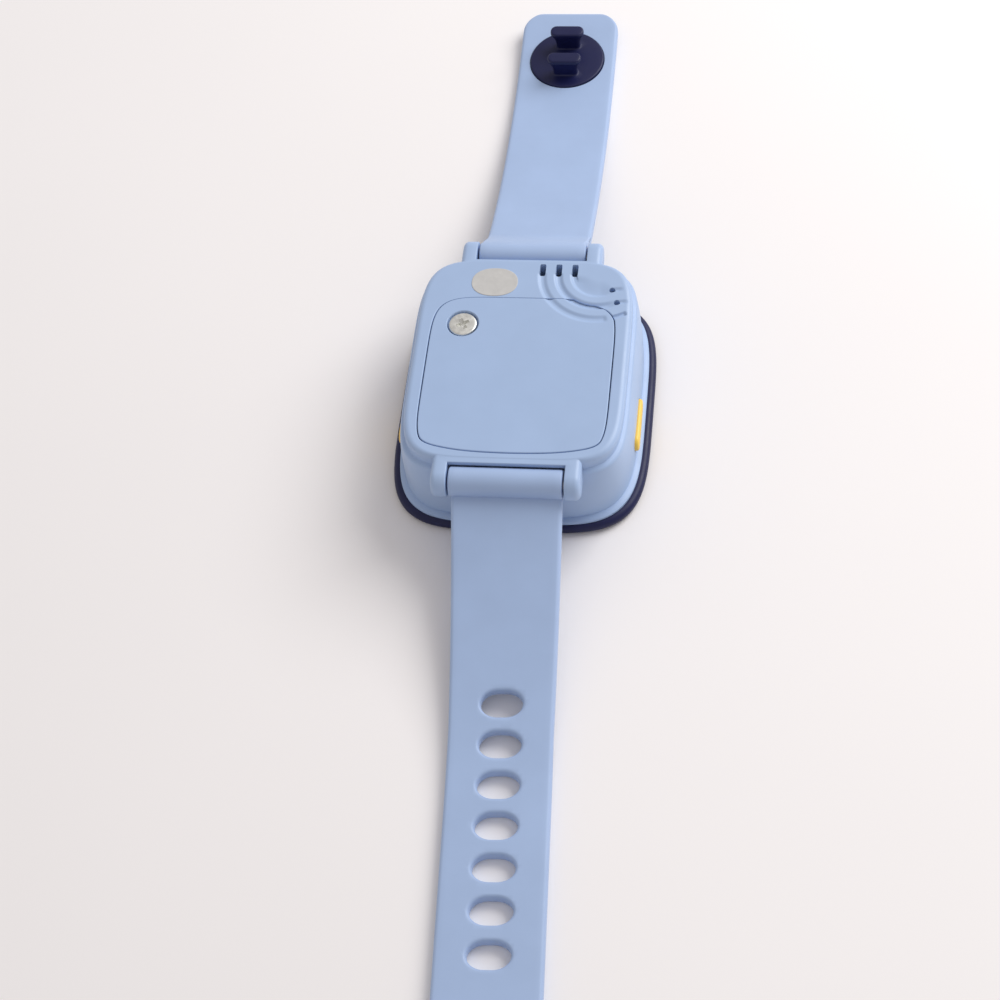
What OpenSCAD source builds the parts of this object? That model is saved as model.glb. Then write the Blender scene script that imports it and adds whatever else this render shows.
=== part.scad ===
// Toy wrist watch lying face down, with its straps open: case, battery bay, straps, clasp and inner parts.
// The table is the plane z = 0, +Z points to the back of the case, +Y to the short strap, +X to the right.

/* [Case] */
// Width across the bezel
bezel_w = 47.2; // [45:0.2:50]
// Length across the bezel
bezel_l = 53.4; // [51:0.2:57]
// Height from the bezel's front to the back panel
case_h = 17.6; // [17.2:0.1:19]
// Roundness of the case outline, 1 is an ellipse and 0 a rectangle
case_roundness_share = 0.465; // [0.4:0.005:0.55]
// Thickness of the bezel rim
bezel_t = 2.2; // [1.8:0.1:2.6]
// How far the bezel stands out past the case's lip
bezel_overhang = 1.3; // [0.8:0.1:1.8]
// How far the lip stands out past the foot of the flank
lip_flare = 0.9; // [0.5:0.1:1.2]
// Thickness of the lip
lip_t = 0.55; // [0.4:0.05:0.8]
// How far the flank leans in between its foot and its shoulder
flank_draft = 0.75; // [0.4:0.05:1.2]
// Ledge between the shoulder and the back panel, at the sides
shoulder_step_side = 1.25; // [0.8:0.05:1.6]
// The same ledge at the strap ends
shoulder_step_end = 0.75; // [0.5:0.05:1]
// Height of the back panel above the shoulder
panel_rise = 2.6; // [2.2:0.1:3]
// Width of the back panel's rounded edge, at the sides
panel_fillet_side = 1.8; // [1.2:0.1:2.2]
// The same at the strap ends
panel_fillet_end = 1.2; // [0.8:0.1:1.4]
// Thickness of the case wall
wall_t = 1.6; // [1.3:0.1:1.8]
// Thickness of the back panel and of the door in it
back_t = 1.5; // [1.3:0.1:1.8]

/* [Battery door] */
// Flat of the panel left beside the door
door_margin_side = 0.8; // [0.5:0.1:1.6]
// Flat of the panel left at the door's near end
door_margin_near = 0.3; // [0.25:0.05:0.8]
// Length of the panel left for the grille past the door's far end
grille_l = 8.25; // [7.6:0.05:9]
// Roundness of the door outline
door_roundness_share = 0.32; // [0.28:0.01:0.4]
// Radius of the door's bowed near edge
door_bow_r = 59; // [55:1:80]
// Radius of the door's corner beside the waves
door_corner_r = 5.5; // [5:0.1:6]
// Width of the seam round the door
door_gap = 0.2; // [0.15:0.01:0.3]
// Distance of the screw from the door's left edge
screw_inset_side = 5.7; // [5:0.1:6.4]
// Distance of the screw from the door's far edge
screw_inset_far = 6.2; // [5.6:0.1:6.8]
// Radius of the screw's head
screw_head_r = 2.6; // [2.2:0.1:2.8]
// Radius of the screw's shank
screw_r = 1.25; // [1:0.05:1.3]

/* [Speaker grille] */
// Radius of the innermost wave groove
wave_r = 4.5; // [4.2:0.1:4.8]
// Distance between neighbouring waves
wave_pitch = 3; // [2.8:0.05:3.1]
// Width of a wave groove
groove_w = 1.4; // [1:0.1:1.7]
// Depth of a wave groove
groove_d = 0.5; // [0.3:0.05:0.7]
// Width of a sound slot
slot_w = 1.15; // [0.8:0.05:1.3]
// Length of a sound slot
slot_l = 2.6; // [2:0.1:2.8]

/* [Straps] */
// Width of both straps at the lugs
strap_w = 20; // [18:0.2:21]
// Width of the long strap past its taper
strap_end_w = 17.8; // [16:0.2:19]
// Thickness of the straps
strap_t = 2.4; // [2:0.1:2.5]
// Length of the long strap from its pin, along its front
strap_long_l = 109; // [100:1:120]
// Length of the short strap from its pin, along its front
strap_short_l = 80.4; // [78:0.2:88]
// Length over which the long strap tapers
strap_taper_l = 45; // [35:1:60]
// Slope with which a strap leaves its pin, in degrees
strap_droop_angle = 21.5; // [20:0.5:23]
// Slope at which the short strap's tip lifts off the table, in degrees
strap_lift_angle = 7; // [2:0.5:10]
// Sideways lean of the long strap, in degrees
strap_lean_angle = 3; // [0:0.1:4]
// Bend radius of a strap where it comes down to the table
strap_bend_r = 140; // [125:1:150]
// Corner radius of the short strap's tip
strap_short_tip_r = 4.6; // [3:0.1:6]
// Corner radius of the long strap's tip
strap_long_tip_r = 6.8; // [4:0.1:8]
// Rounding of the strap's edges
strap_edge_r = 0.7; // [0.4:0.05:0.9]
// Radius of the knuckle round the pin
knuckle_r = 2.6; // [2.4:0.05:2.7]
// Thickness of a lug
lug_t = 3; // [2.4:0.1:3.4]
// Radius of a strap pin
pin_r = 0.75; // [0.6:0.05:0.9]
// Width of a strap hole, across the strap
hole_w = 7.2; // [7.1:0.1:7.6]
// Length of a strap hole, along the strap
hole_l = 4.7; // [4.2:0.1:4.8]
// Distance between strap holes, and between the clasp's pegs
hole_pitch = 7.4; // [7:0.1:7.8]
// Distance of the first hole from the pin, along the strap
hole_first = 39.7; // [36:0.1:42]
// Number of strap holes
hole_count = 7; // [5:1:7]

/* [Clasp] */
// Radius of the clasp's disc
stud_r = 7.7; // [7:0.1:8.2]
// Distance of the clasp from the pin, along the strap
stud_place = 67.2; // [65:0.1:69]
// Width of a peg's head, across the strap
peg_w = 6.9; // [6.2:0.1:7]
// Length of a peg's head, along the strap
peg_l = 2.8; // [2.5:0.1:3.4]
// Height of a peg above the disc
peg_h = 4.6; // [4.2:0.1:5]

/* [Side buttons] */
// Length of a side button
button_l = 10.9; // [9:0.1:12]
// Height of a side button
button_h = 3; // [2.4:0.1:3.2]
// How far a button stands out past the foot of the flank
button_proud = 0.6; // [0.4:0.05:0.8]
// Place of the buttons along the case
button_y = -6.3; // [-7:0.1:-3]
// Travel of a button
button_travel = 0.6; // [0.4:0.05:0.8]

/* [Front] */
// Width of the bezel's face beside the lens, at the sides
bezel_face_side = 4.8; // [4:0.1:5.4]
// The same at the strap ends
bezel_face_end = 6.2; // [5.4:0.1:7]
// Thickness of the lens
lens_t = 1.2; // [0.9:0.1:1.3]
// Width of the display
display_w = 27.2; // [25:0.2:28.2]
// Length of the display
display_l = 27.8; // [26:0.2:28]
// Thickness of the display
display_t = 2.1; // [1.8:0.1:2.3]

/* [Inside] */
// Diameter of the coin cell
cell_d = 24.5; // [23:0.5:24.5]
// Thickness of the coin cell
cell_t = 5; // [3.2:0.1:5]
// Space round the circuit board, at the sides
board_gap_side = 1.55; // [1.4:0.05:2.4]
// The same at the strap ends
board_gap_end = 0.85; // [0.6:0.05:1.6]
// Thickness of the circuit board
board_t = 1; // [0.8:0.1:1.2]
// Radius of the speaker
speaker_r = 5.5; // [4.8:0.1:5.8]
// Height of the speaker
speaker_h = 3.2; // [2.6:0.1:3.6]

/* [Hidden] */
$fn = 48;
overrun = 1;
outline_count = 60;

// Fits shared by the whole part: a running fit, a loose gap, and a seat that nearly touches
pin_fit = 0.05;
part_gap = 0.3;
seat_gap = 0.05;

// Half sizes of the case outline, from the bezel's rim up to the flat of the back panel
rim = [bezel_w, bezel_l] / 2;
lip = rim - [bezel_overhang, bezel_overhang];
foot = lip - [lip_flare, lip_flare];
shoulder = foot - [flank_draft, flank_draft];
panel = shoulder - [shoulder_step_side, shoulder_step_end];
panel_fillet = [panel_fillet_side, panel_fillet_end];
panel_flat = panel - panel_fillet;

// Heights of the case's outer skin
lip_cove = 0.3;
shoulder_drop = 0.7;
panel_wall_h = 0.5;
foot_z = bezel_t + lip_t + lip_cove;
crease_z = case_h - panel_rise;
shoulder_z = crease_z - shoulder_drop;
fillet_z = crease_z + panel_wall_h;
flank_height_shares = [0, 0.35, 0.7, 0.9, 1];
flank_lean_shares = [0, 0.16, 0.5, 0.8, 1];
ridge_in_share = 0.4;
ridge_up_share = 0.75;
fillet_steps = 5;

// Straps, their pins and the lugs that hold them
lug_gap = 0.35;
pin_offset = 2.7;
pin_depth = 2.8;
pin_tip_r = 0.4;
pin_tip_l = 1.1;
lug_root = 4.6;
lug_dip = 0.05;
strip_root = 0.2;
strip_reach = 0.5;
pin_y = panel.y + pin_offset;
pin_z = case_h - pin_depth;
recess_r = knuckle_r + part_gap;
lug_r = pin_depth - lug_dip;
strip_y = panel.y + strip_reach;
lug_in_x = strap_w / 2 + lug_gap;
knuckle_step = 0.1;
knuckle_side = 0.15;
strap_drop = knuckle_r - knuckle_step;
strap_start = [pin_y - strap_drop * sin(strap_droop_angle), pin_z - strap_drop * cos(strap_droop_angle)];
strap_straight = (strap_start.y - strap_bend_r * (1 - cos(strap_droop_angle))) / sin(strap_droop_angle);
strap_edge_steps = 3;
strap_bend_steps = 7;
strap_tip_steps = 6;

// Inner levels, from the back panel down to the front
back_z = case_h - back_t;
seat_t = 1.2;
seat_ledge = 1.2;
seat_z = back_z - seat_t;
cell_headroom = 0.3;
contact_rise = 0.6;
floor_t = 1.2;
cell_top_z = back_z - cell_headroom;
cell_z = cell_top_z - cell_t;
cup_floor_z = cell_z - contact_rise;
cup_z = cup_floor_z - floor_t;
board_rest = 0.2;
board_z = bezel_t + display_t + board_rest;
board_top_z = board_z + board_t;
cavity_low = shoulder - [wall_t, wall_t];
cavity_high = panel - [wall_t, wall_t];
board_half = cavity_low - [board_gap_side, board_gap_end];
cavity_step_z = pin_z - recess_r - wall_t;

// Door outline, inside the flat of the panel
door_near_y = door_margin_near - panel_flat.y;
door_far_y = panel_flat.y - grille_l;
door_w = 2 * (panel_flat.x - door_margin_side);
door_l = door_far_y - door_near_y;
door_shift = -(door_far_y + door_near_y) / 2;
door_corner_drop = 6.75;
door_corner_x = door_w / 2 - door_corner_r;
door_corner_y = door_far_y - door_corner_drop;

// Battery bay
cell_gap = 0.35;
cell_rim = 0.8;
cup_wall = 1;
cell_shift = 1.825;
cell_y = -door_shift - cell_shift;
pocket_r = cell_d / 2 + cell_gap;
cup_r = pocket_r + cup_wall;

// The door's tabs and its screw
tab_w = 5;
tab_t = 0.9;
tab_reach = 0.8;
tab_root = 1;
tab_x = 4.6;
tab_bow = door_bow_r - sqrt(pow(door_bow_r, 2) - pow(tab_x + tab_w / 2, 2));
tab_y = door_near_y + tab_bow;
tab_swing = sqrt(pow(tab_bow + tab_root, 2) + tab_t * (tab_t + 2 * back_t)) + part_gap;
screw_x = -door_w / 2 + screw_inset_side;
screw_y = door_far_y - screw_inset_far;
screw_head_t = 0.8;
screw_sink = 0.9;
screw_reach = 3.2;
screw_swing_gap = 0.45;
screw_slot_w = 0.8;
screw_slot_d = 0.5;
clip_r = 2.1;
clip_t = 0.4;
clip_well_r = clip_r + screw_swing_gap;
clip_well_d = 2 * clip_t + part_gap;
boss_r = clip_well_r + cup_wall;

// Screws that hold the bezel, set in wells beside the cell
case_screw_angle = 40;
case_screw_head_r = 1.9;
case_screw_head_t = 1.2;
case_screw_r = 1;
case_screw_tip = 1.4;
well_wall = 0.8;
well_floor_t = 1;
well_r = case_screw_head_r + cell_gap / 2;
well_z = cup_z - well_floor_t;
case_screw_z = bezel_t + case_screw_tip;
case_screw_reach = cup_r + well_r + well_wall;
case_screw_x = case_screw_reach * cos(case_screw_angle);
case_screw_y = cell_y - case_screw_reach * sin(case_screw_angle);
boss_out_r = 2.1;
post_r = 1.6;

// Speaker and the waves cut round it
wave_count = 3;
wave_inset = [6.45, 3.55];
wave_x = panel.x - wave_inset.x;
wave_y = panel.y - wave_inset.y;
slot_rise = 0.95;
wave_cut_r = wave_r + wave_pitch - door_gap;
end_slot_angles = [-53, -60];
speaker_offset = [2.15, 5.25];
speaker_x = wave_x - speaker_offset.x;
speaker_y = wave_y - speaker_offset.y;
speaker_rib_t = 0.7;
speaker_rib_h = 2.7;
speaker_gap = 0.1;
lead_r = 0.45;
lead_spread = 3;

// Side buttons and the switches behind them
switch_size = [2.8, 4.6, 1.8];
switch_tip_r = 0.8;
switch_tip_l = 0.6;
button_gap = 0.15;
button_flange = 0.8;
button_z = board_top_z + switch_size.z / 2;
button_seat_x = cavity_low.x;
button_face_x = foot.x + button_proud;
switch_tip_x = button_seat_x - seat_gap - button_flange - button_travel - seat_gap;

// Bezel's inner parts
rim_edge = 1;
rim_steps = 6;
spigot_t = 1.2;
spigot_h = 1.4;
spigot_gap = 0.15;
lens_gap = 0.1;
lens_roundness_share = 0.36;
snap_w = 6;
snap_x = 8;
snap_reach = 0.6;
snap_t = 0.8;
post_inset = [4.9, 3.8];
post_x = board_half.x - post_inset.x;
post_y = board_half.y - post_inset.y;
display_shift = 0.6;
display_ledge = 0.6;
lens_half = rim - [bezel_face_side, bezel_face_end];
window_half = [display_w, display_l] / 2 - [display_ledge, display_ledge];
display_glass_t = 0.6;
display_frame = 0.7;
ribbon_w = 12;
ribbon_t = 0.2;
ribbon_reach = 2.9;
ribbon_tail = 2.6;

// Small parts on the board and in the bay
chip_r = 4.2;
chip_h = 1.3;
chip_gap = 1.6;
contact_t = 0.3;
contact_w = 5.4;
contact_lift = 0.25;
contact_tongue = 6;
contact_y = cell_y + cell_d / 2 + pin_fit + contact_t / 2;
chip_y = contact_y + chip_gap + chip_r;

// Sticker on the back panel
sticker_size = [8.6, 6.6];
sticker_t = 0.1;
sticker_roundness_share = 0.9;
sticker_x = -6.2;
sticker_y = 17.2;

// Clasp
stud_t = 1;
stud_proud = 0.5;
neck_r = 5.4;
neck_wall = 2.2;
stem_inset = 1;
peg_head_t = 1.1;
peg_corner_r = 0.7;
cap_t = 0.8;
cap_sink = 0.3;
cap_top = cap_sink + cap_t;

// Colours
case_blue = [0.64, 0.73, 0.89];
strap_blue = [0.62, 0.71, 0.87];
navy = [0.13, 0.14, 0.28];
button_yellow = [0.95, 0.80, 0.35];
steel = [0.78, 0.78, 0.76];
dark_glass = [0.08, 0.09, 0.12];

// A number raised to a power with its sign kept
function signed_power(v, share) = sign(v) * pow(abs(v), share);

// Rounded outline between an ellipse and a rectangle, counter-clockwise, from its two half sizes
function outline(half, share) = [
    for (i = [0 : outline_count - 1])
        let (turn = 360 * i / outline_count)
        [half.x * signed_power(cos(turn), share), half.y * signed_power(sin(turn), share)]
];

// The same outline as a level ring in space
function ring(half, share, z) = [for (p = outline(half, share)) [p.x, p.y, z]];

// Value a share of the way between two others
function mix(a, b, share) = a + (b - a) * share;

// Rings of the case's outer skin: lip, leaning flank, shoulder ridge, panel wall and rounded panel edge
skin_rings = concat(
    [for (z = [bezel_t, bezel_t + lip_t]) ring(lip, case_roundness_share, z)],
    [for (i = [0 : len(flank_height_shares) - 1])
        ring(mix(foot, shoulder, flank_lean_shares[i]), case_roundness_share,
            mix(foot_z, shoulder_z, flank_height_shares[i]))],
    [ring(mix(shoulder, panel, ridge_in_share), case_roundness_share,
        mix(shoulder_z, crease_z, ridge_up_share))],
    [ring(panel, case_roundness_share, crease_z)],
    [for (i = [0 : fillet_steps])
        let (turn = 90 * i / fillet_steps)
        ring(panel - panel_fillet * (1 - cos(turn)), case_roundness_share,
            mix(fillet_z, case_h, sin(turn)))]
);

// Rings of the bezel, with a half-round outer edge
rim_rings = [
    for (i = [0 : rim_steps])
        let (turn = -90 + 180 * i / rim_steps)
        ring(rim - [rim_edge, rim_edge] * (1 - cos(turn)), case_roundness_share,
            mix(0, bezel_t, (1 + sin(turn)) / 2))
];

// Solid through a stack of rings that all have as many points, counter-clockwise seen from the last one
module loft(rings) {
    n = len(rings[0]);
    m = len(rings);
    sides = [
        for (k = [0 : m - 2])
            for (i = [0 : n - 1])
                let (a = k * n + i, b = k * n + (i + 1) % n)
                each [[a, a + n, b], [b, a + n, b + n]]
    ];
    bottom = [for (i = [0 : n - 1]) i];
    top = [for (i = [n - 1 : -1 : 0]) (m - 1) * n + i];
    polyhedron(points = [for (r = rings) each r], faces = concat([bottom], sides, [top]));
}

// Straight-walled solid over an outline
module prism(half, share, low, high) {
    translate([0, 0, low]) linear_extrude(high - low) polygon(outline(half, share));
}

// Upright cylinder between two levels
module post(x, y, r, low, high) {
    translate([x, y, low]) cylinder(r = r, h = high - low);
}

// Box centred on x and y between two levels
module block(x, y, size, low, high) {
    translate([x - size.x / 2, y - size.y / 2, low]) cube([size.x, size.y, high - low]);
}

// Flat shape with round ends, long along its first axis
module pill(long, wide) {
    square([long - wide, wide], center = true);
    for (side = [-1, 1]) translate([side * (long - wide) / 2, 0]) circle(wide / 2);
}

// Rounded rectangle made of a cross and four corner discs
module soft_rectangle(size, r) {
    square([size.x - 2 * r, size.y], center = true);
    square([size.x, size.y - 2 * r], center = true);
    for (sx = [-1, 1]) for (sy = [-1, 1])
        translate([sx * (size.x / 2 - r), sy * (size.y / 2 - r)]) circle(r);
}

// Outline of the door, grown by a margin: a bowed near edge, a bay for the waves and a round corner beside it
module door_plan(margin) {
    difference() {
        intersection() {
            translate([0, -door_shift])
                polygon(outline([door_w / 2 + margin, door_l / 2 + margin], door_roundness_share));
            translate([0, door_near_y + door_bow_r]) circle(door_bow_r + margin);
        }
        translate([wave_x, wave_y]) circle(wave_cut_r - margin);
        translate([door_corner_x, door_corner_y]) difference() {
            square([door_w, door_l]);
            circle(door_corner_r + margin);
        }
    }
}

// Ring-shaped groove of one wave, open towards the slots
module wave_groove(index) {
    r = wave_r + index * wave_pitch;
    intersection() {
        translate([wave_x, wave_y, case_h - groove_d]) difference() {
            cylinder(r = r + groove_w / 2, h = groove_d + overrun);
            translate([0, 0, -overrun]) cylinder(r = r - groove_w / 2, h = groove_d + 3 * overrun);
        }
        translate([wave_x - bezel_w, wave_y + slot_rise - bezel_l, 0])
            cube([2 * bezel_w, bezel_l, 2 * case_h]);
    }
}

// Sound slots: long ones at the far end of each wave and small ones at the side
module sound_slots() {
    for (i = [0 : wave_count - 1])
        block(wave_x - wave_r - i * wave_pitch, wave_y + slot_rise, [slot_w, slot_l],
            seat_z, case_h + overrun);
    for (i = [0 : len(end_slot_angles) - 1]) {
        r = wave_r + i * wave_pitch;
        post(wave_x + r * cos(end_slot_angles[i]), wave_y + r * sin(end_slot_angles[i]), slot_w / 2,
            seat_z, case_h + overrun);
    }
}

// Both lugs of one end of the case, rounded about the strap's pin, and the flat strip between them
module lugs(end) {
    for (side = [-1, 1])
        translate([side * (lug_in_x + lug_t / 2) - lug_t / 2, 0, 0])
            rotate([90, 0, 90]) linear_extrude(lug_t) {
                translate([end * pin_y, pin_z]) circle(lug_r);
                polygon([[end * (pin_y - lug_root), pin_z - lug_r], [end * pin_y, pin_z - lug_r],
                    [end * pin_y, pin_z + lug_r], [end * (pin_y - lug_root), pin_z + lug_r]]);
            }
    strip_l = strip_root + panel_fillet.y + strip_reach;
    block(0, end * (strip_y - strip_l / 2), [2 * lug_in_x + lug_t, strip_l], shoulder_z, case_h - lug_dip);
}

// Room for a strap's knuckle, and the holes for its pin
module strap_recess(end) {
    wide = 2 * lug_in_x;
    translate([-lug_in_x, end * pin_y, pin_z]) rotate([0, 90, 0]) cylinder(r = recess_r, h = wide);
    open = pin_y + recess_r - strip_y;
    block(0, end * (strip_y + open / 2), [wide, open], pin_z, case_h + overrun);
    tip = lug_in_x + pin_tip_l + part_gap;
    translate([-tip, end * pin_y, pin_z]) rotate([0, 90, 0]) cylinder(r = pin_tip_r + pin_fit, h = 2 * tip);
}

// Places the pair of screws that hold the bezel
module at_case_screws() {
    for (side = [-1, 1]) translate([side * case_screw_x, case_screw_y, 0]) children();
}

// Seat of the door, cup of the cell, screw wells, boss and speaker rib inside the case
module bay_solids() {
    rib_r = speaker_r + speaker_gap;
    intersection() {
        translate([0, 0, seat_z]) linear_extrude(back_z - seat_z + seat_gap) door_plan(seat_ledge);
        prism(panel - [wall_t, wall_t] / 2, case_roundness_share, 0, case_h);
    }
    post(0, cell_y, cup_r, cup_z, seat_z + seat_gap);
    at_case_screws() post(0, 0, well_r + well_wall, well_z, seat_z + seat_gap);
    post(screw_x, screw_y, boss_r, back_z - screw_reach - cup_wall, seat_z + seat_gap);
    difference() {
        post(speaker_x, speaker_y, rib_r + speaker_rib_t, seat_z - speaker_rib_h, back_z + seat_gap);
        post(speaker_x, speaker_y, rib_r, 0, case_h);
    }
}

// Pocket of the cell, bores of the wells and the boss, and room for the contacts and the door's tabs
module bay_cuts() {
    post(0, cell_y, pocket_r, cup_floor_z, case_h);
    at_case_screws() {
        post(0, 0, well_r, cup_z, case_h);
        post(0, 0, case_screw_r + pin_fit, 0, case_h);
    }
    post(screw_x, screw_y, screw_r + screw_swing_gap, back_z - screw_reach - part_gap, case_h);
    post(screw_x, screw_y, clip_well_r, back_z - clip_well_d, case_h);
    for (side = [-1, 1])
        block(side * tab_x, door_near_y + (tab_swing + tab_bow - tab_reach - part_gap) / 2,
            [tab_w + 2 * part_gap, tab_swing - tab_bow + tab_reach + part_gap],
            back_z - tab_t - part_gap, back_z);
    slot_t = contact_t + 2 * pin_fit;
    slot_w = contact_w + part_gap;
    block(0, contact_y, [slot_w, slot_t], 0, cell_top_z);
    block(-contact_tongue - contact_t / 2, cell_y, [slot_t, slot_w], 0, cell_z);
}

// Window, flange seat and outside cut for one side button
module button_window(side) {
    reach = button_face_x - button_seat_x + overrun;
    translate([side > 0 ? button_seat_x - overrun : -button_seat_x - reach, button_y, button_z])
        rotate([90, 0, 90]) linear_extrude(reach + overrun)
            pill(button_l + 2 * button_gap, button_h + 2 * button_gap);
    seat = [button_flange + overrun, button_l + 2 * button_flange + 2 * button_gap];
    half_h = button_h / 2 + button_flange + button_gap;
    block(side * (button_seat_x - seat.x / 2), button_y, seat, button_z - half_h, button_z + half_h);
}

// Spots where the bezel's snaps catch in the case wall, grown by a gap
module snaps(gap) {
    for (side = [-1, 1]) for (end = [-1, 1])
        block(side * snap_x, end * (cavity_low.y - spigot_t / 2 + snap_reach / 2 + gap / 2),
            [snap_w + 2 * gap, spigot_t + snap_reach + gap],
            bezel_t + spigot_h - snap_t - gap, bezel_t + spigot_h + gap);
}

module rear_case() {
    color(case_blue) difference() {
        union() {
            difference() {
                loft(skin_rings);
                prism(cavity_low, case_roundness_share, bezel_t - overrun, cavity_step_z);
                prism(cavity_high, case_roundness_share, cavity_step_z - overrun, back_z);
            }
            for (end = [-1, 1]) lugs(end);
            bay_solids();
        }
        translate([0, 0, back_z]) linear_extrude(back_t + overrun) door_plan(door_gap);
        bay_cuts();
        sound_slots();
        for (i = [0 : wave_count - 1]) wave_groove(i);
        for (side = [-1, 1]) button_window(side);
        for (end = [-1, 1]) strap_recess(end);
        snaps(spigot_gap);
    }
}

module bezel() {
    spigot = cavity_low - [spigot_gap, spigot_gap];
    color(navy) difference() {
        union() {
            loft(rim_rings);
            difference() {
                union() {
                    prism(spigot, case_roundness_share, bezel_t - seat_gap, bezel_t + spigot_h);
                    snaps(0);
                }
                prism(spigot - [spigot_t, spigot_t], case_roundness_share, 0, case_h);
            }
            at_case_screws() post(0, 0, boss_out_r, lens_t, well_z - seat_gap);
            for (side = [-1, 1]) post(side * post_x, post_y, post_r, lens_t, board_z - seat_gap);
        }
        prism(lens_half + [lens_gap, lens_gap], lens_roundness_share, -overrun, lens_t);
        translate([0, display_shift, 0])
            prism(window_half, lens_roundness_share, -overrun, bezel_t + overrun);
        at_case_screws() post(0, 0, case_screw_r + pin_fit, case_screw_z - part_gap, case_h);
    }
}

module lens() {
    color([0.75, 0.82, 0.88, 0.4]) prism(lens_half, lens_roundness_share, 0, lens_t - seat_gap);
}

module display_module() {
    glass = [display_w - 2 * display_frame, display_l - 2 * display_frame];
    color(dark_glass) {
        block(0, display_shift, [display_w, display_l], bezel_t + display_glass_t, bezel_t + display_t);
        block(0, display_shift, glass, bezel_t + seat_gap, bezel_t + display_glass_t + seat_gap);
    }
}

module display_ribbon() {
    start = display_shift + display_l / 2;
    bend = start + ribbon_reach;
    low = bezel_t + display_glass_t + ribbon_t;
    color([0.75, 0.5, 0.2]) translate([-ribbon_w / 2, 0, 0]) rotate([90, 0, 90]) linear_extrude(ribbon_w)
        polygon([[start, low], [bend, low], [bend, board_z - ribbon_t],
            [bend + ribbon_tail, board_z - ribbon_t], [bend + ribbon_tail, board_z],
            [bend - ribbon_t, board_z], [bend - ribbon_t, low + ribbon_t], [start, low + ribbon_t]]);
}

module circuit_board() {
    near = case_screw_y + boss_out_r + part_gap;
    color([0.10, 0.40, 0.22]) intersection() {
        prism(board_half, case_roundness_share, board_z, board_top_z);
        translate([-bezel_w, near, 0]) cube([2 * bezel_w, bezel_l, case_h]);
    }
}

module chip() {
    ball_r = (chip_r * chip_r + chip_h * chip_h) / (2 * chip_h);
    color([0.06, 0.06, 0.07]) intersection() {
        translate([0, chip_y, board_top_z + chip_h - ball_r]) sphere(r = ball_r);
        post(0, chip_y, 2 * chip_r, board_top_z, board_top_z + 2 * chip_h);
    }
}

module button_switches() {
    body_x = switch_tip_x - switch_tip_l - switch_size.x / 2;
    color([0.15, 0.15, 0.16]) for (side = [-1, 1]) {
        block(side * body_x, button_y, switch_size, board_top_z, board_top_z + switch_size.z);
        translate([side * body_x, button_y, button_z]) rotate([0, side * 90, 0])
            cylinder(r = switch_tip_r, h = switch_size.x / 2 + switch_tip_l);
    }
}

module speaker() {
    top = seat_z - speaker_gap;
    color([0.2, 0.2, 0.22]) {
        post(speaker_x, speaker_y, speaker_r, top - speaker_h / 2, top);
        post(speaker_x, speaker_y, speaker_r - speaker_rib_t, top - speaker_h, top);
    }
}

module speaker_leads() {
    color([0.7, 0.12, 0.1]) for (side = [-1, 1])
        post(speaker_x + side * lead_spread / 2, speaker_y, lead_r,
            board_top_z, seat_z - speaker_gap - speaker_h);
}

module coin_cell() {
    color(steel) {
        post(0, cell_y, cell_d / 2, cell_z + cell_rim, cell_top_z);
        post(0, cell_y, cell_d / 2 - cell_rim, cell_z, cell_top_z);
    }
}

module contact_positive() {
    color(steel)
        block(0, contact_y, [contact_w, contact_t], board_top_z, cell_top_z - part_gap);
}

module contact_negative() {
    color(steel) translate([0, cell_y + contact_w / 2, 0]) rotate([90, 0, 0]) linear_extrude(contact_w)
        polygon([[-contact_tongue, board_top_z], [-contact_tongue, cup_floor_z], [0, cup_floor_z],
            [contact_tongue, cup_floor_z + contact_lift],
            [contact_tongue, cup_floor_z + contact_lift + contact_t], [0, cup_floor_z + contact_t],
            [-contact_tongue - contact_t, cup_floor_z + contact_t],
            [-contact_tongue - contact_t, board_top_z]]);
}

module battery_door() {
    color(case_blue) difference() {
        union() {
            translate([0, 0, back_z + seat_gap]) linear_extrude(back_t - seat_gap) door_plan(0);
            for (side = [-1, 1]) {
                block(side * tab_x, tab_y + tab_root / 2, [tab_w, tab_root],
                    back_z - tab_t, back_z + 2 * seat_gap);
                block(side * tab_x, tab_y + (tab_root - tab_reach) / 2, [tab_w, tab_root + tab_reach],
                    back_z - tab_t, back_z - seat_gap);
            }
        }
        post(screw_x, screw_y, screw_head_r + part_gap, case_h - screw_sink, case_h + overrun);
        post(screw_x, screw_y, screw_r + pin_fit, 0, case_h);
        for (i = [1 : wave_count - 1]) wave_groove(i);
    }
}

module door_screw() {
    head_z = case_h - screw_sink + seat_gap;
    color(steel) difference() {
        union() {
            post(screw_x, screw_y, screw_head_r, head_z, head_z + screw_head_t);
            post(screw_x, screw_y, screw_r, back_z - screw_reach, head_z + screw_head_t / 2);
        }
        for (size = [[screw_head_r, screw_slot_w], [screw_slot_w, screw_head_r]])
            block(screw_x, screw_y, size, head_z + screw_head_t - screw_slot_d, case_h + overrun);
    }
}

module screw_clip() {
    color(steel) difference() {
        post(screw_x, screw_y, clip_r, back_z - 2 * clip_t, back_z - clip_t);
        post(screw_x, screw_y, screw_r + pin_fit, 0, case_h);
    }
}

module case_screws() {
    color(steel) at_case_screws() {
        post(0, 0, case_screw_head_r, cup_z + seat_gap, cup_z + case_screw_head_t);
        post(0, 0, case_screw_r, case_screw_z, cup_z + case_screw_head_t / 2);
    }
}

module quality_sticker() {
    color([0.86, 0.85, 0.82]) translate([sticker_x, sticker_y, case_h]) linear_extrude(sticker_t)
        polygon(outline(sticker_size / 2, sticker_roundness_share));
}

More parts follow.
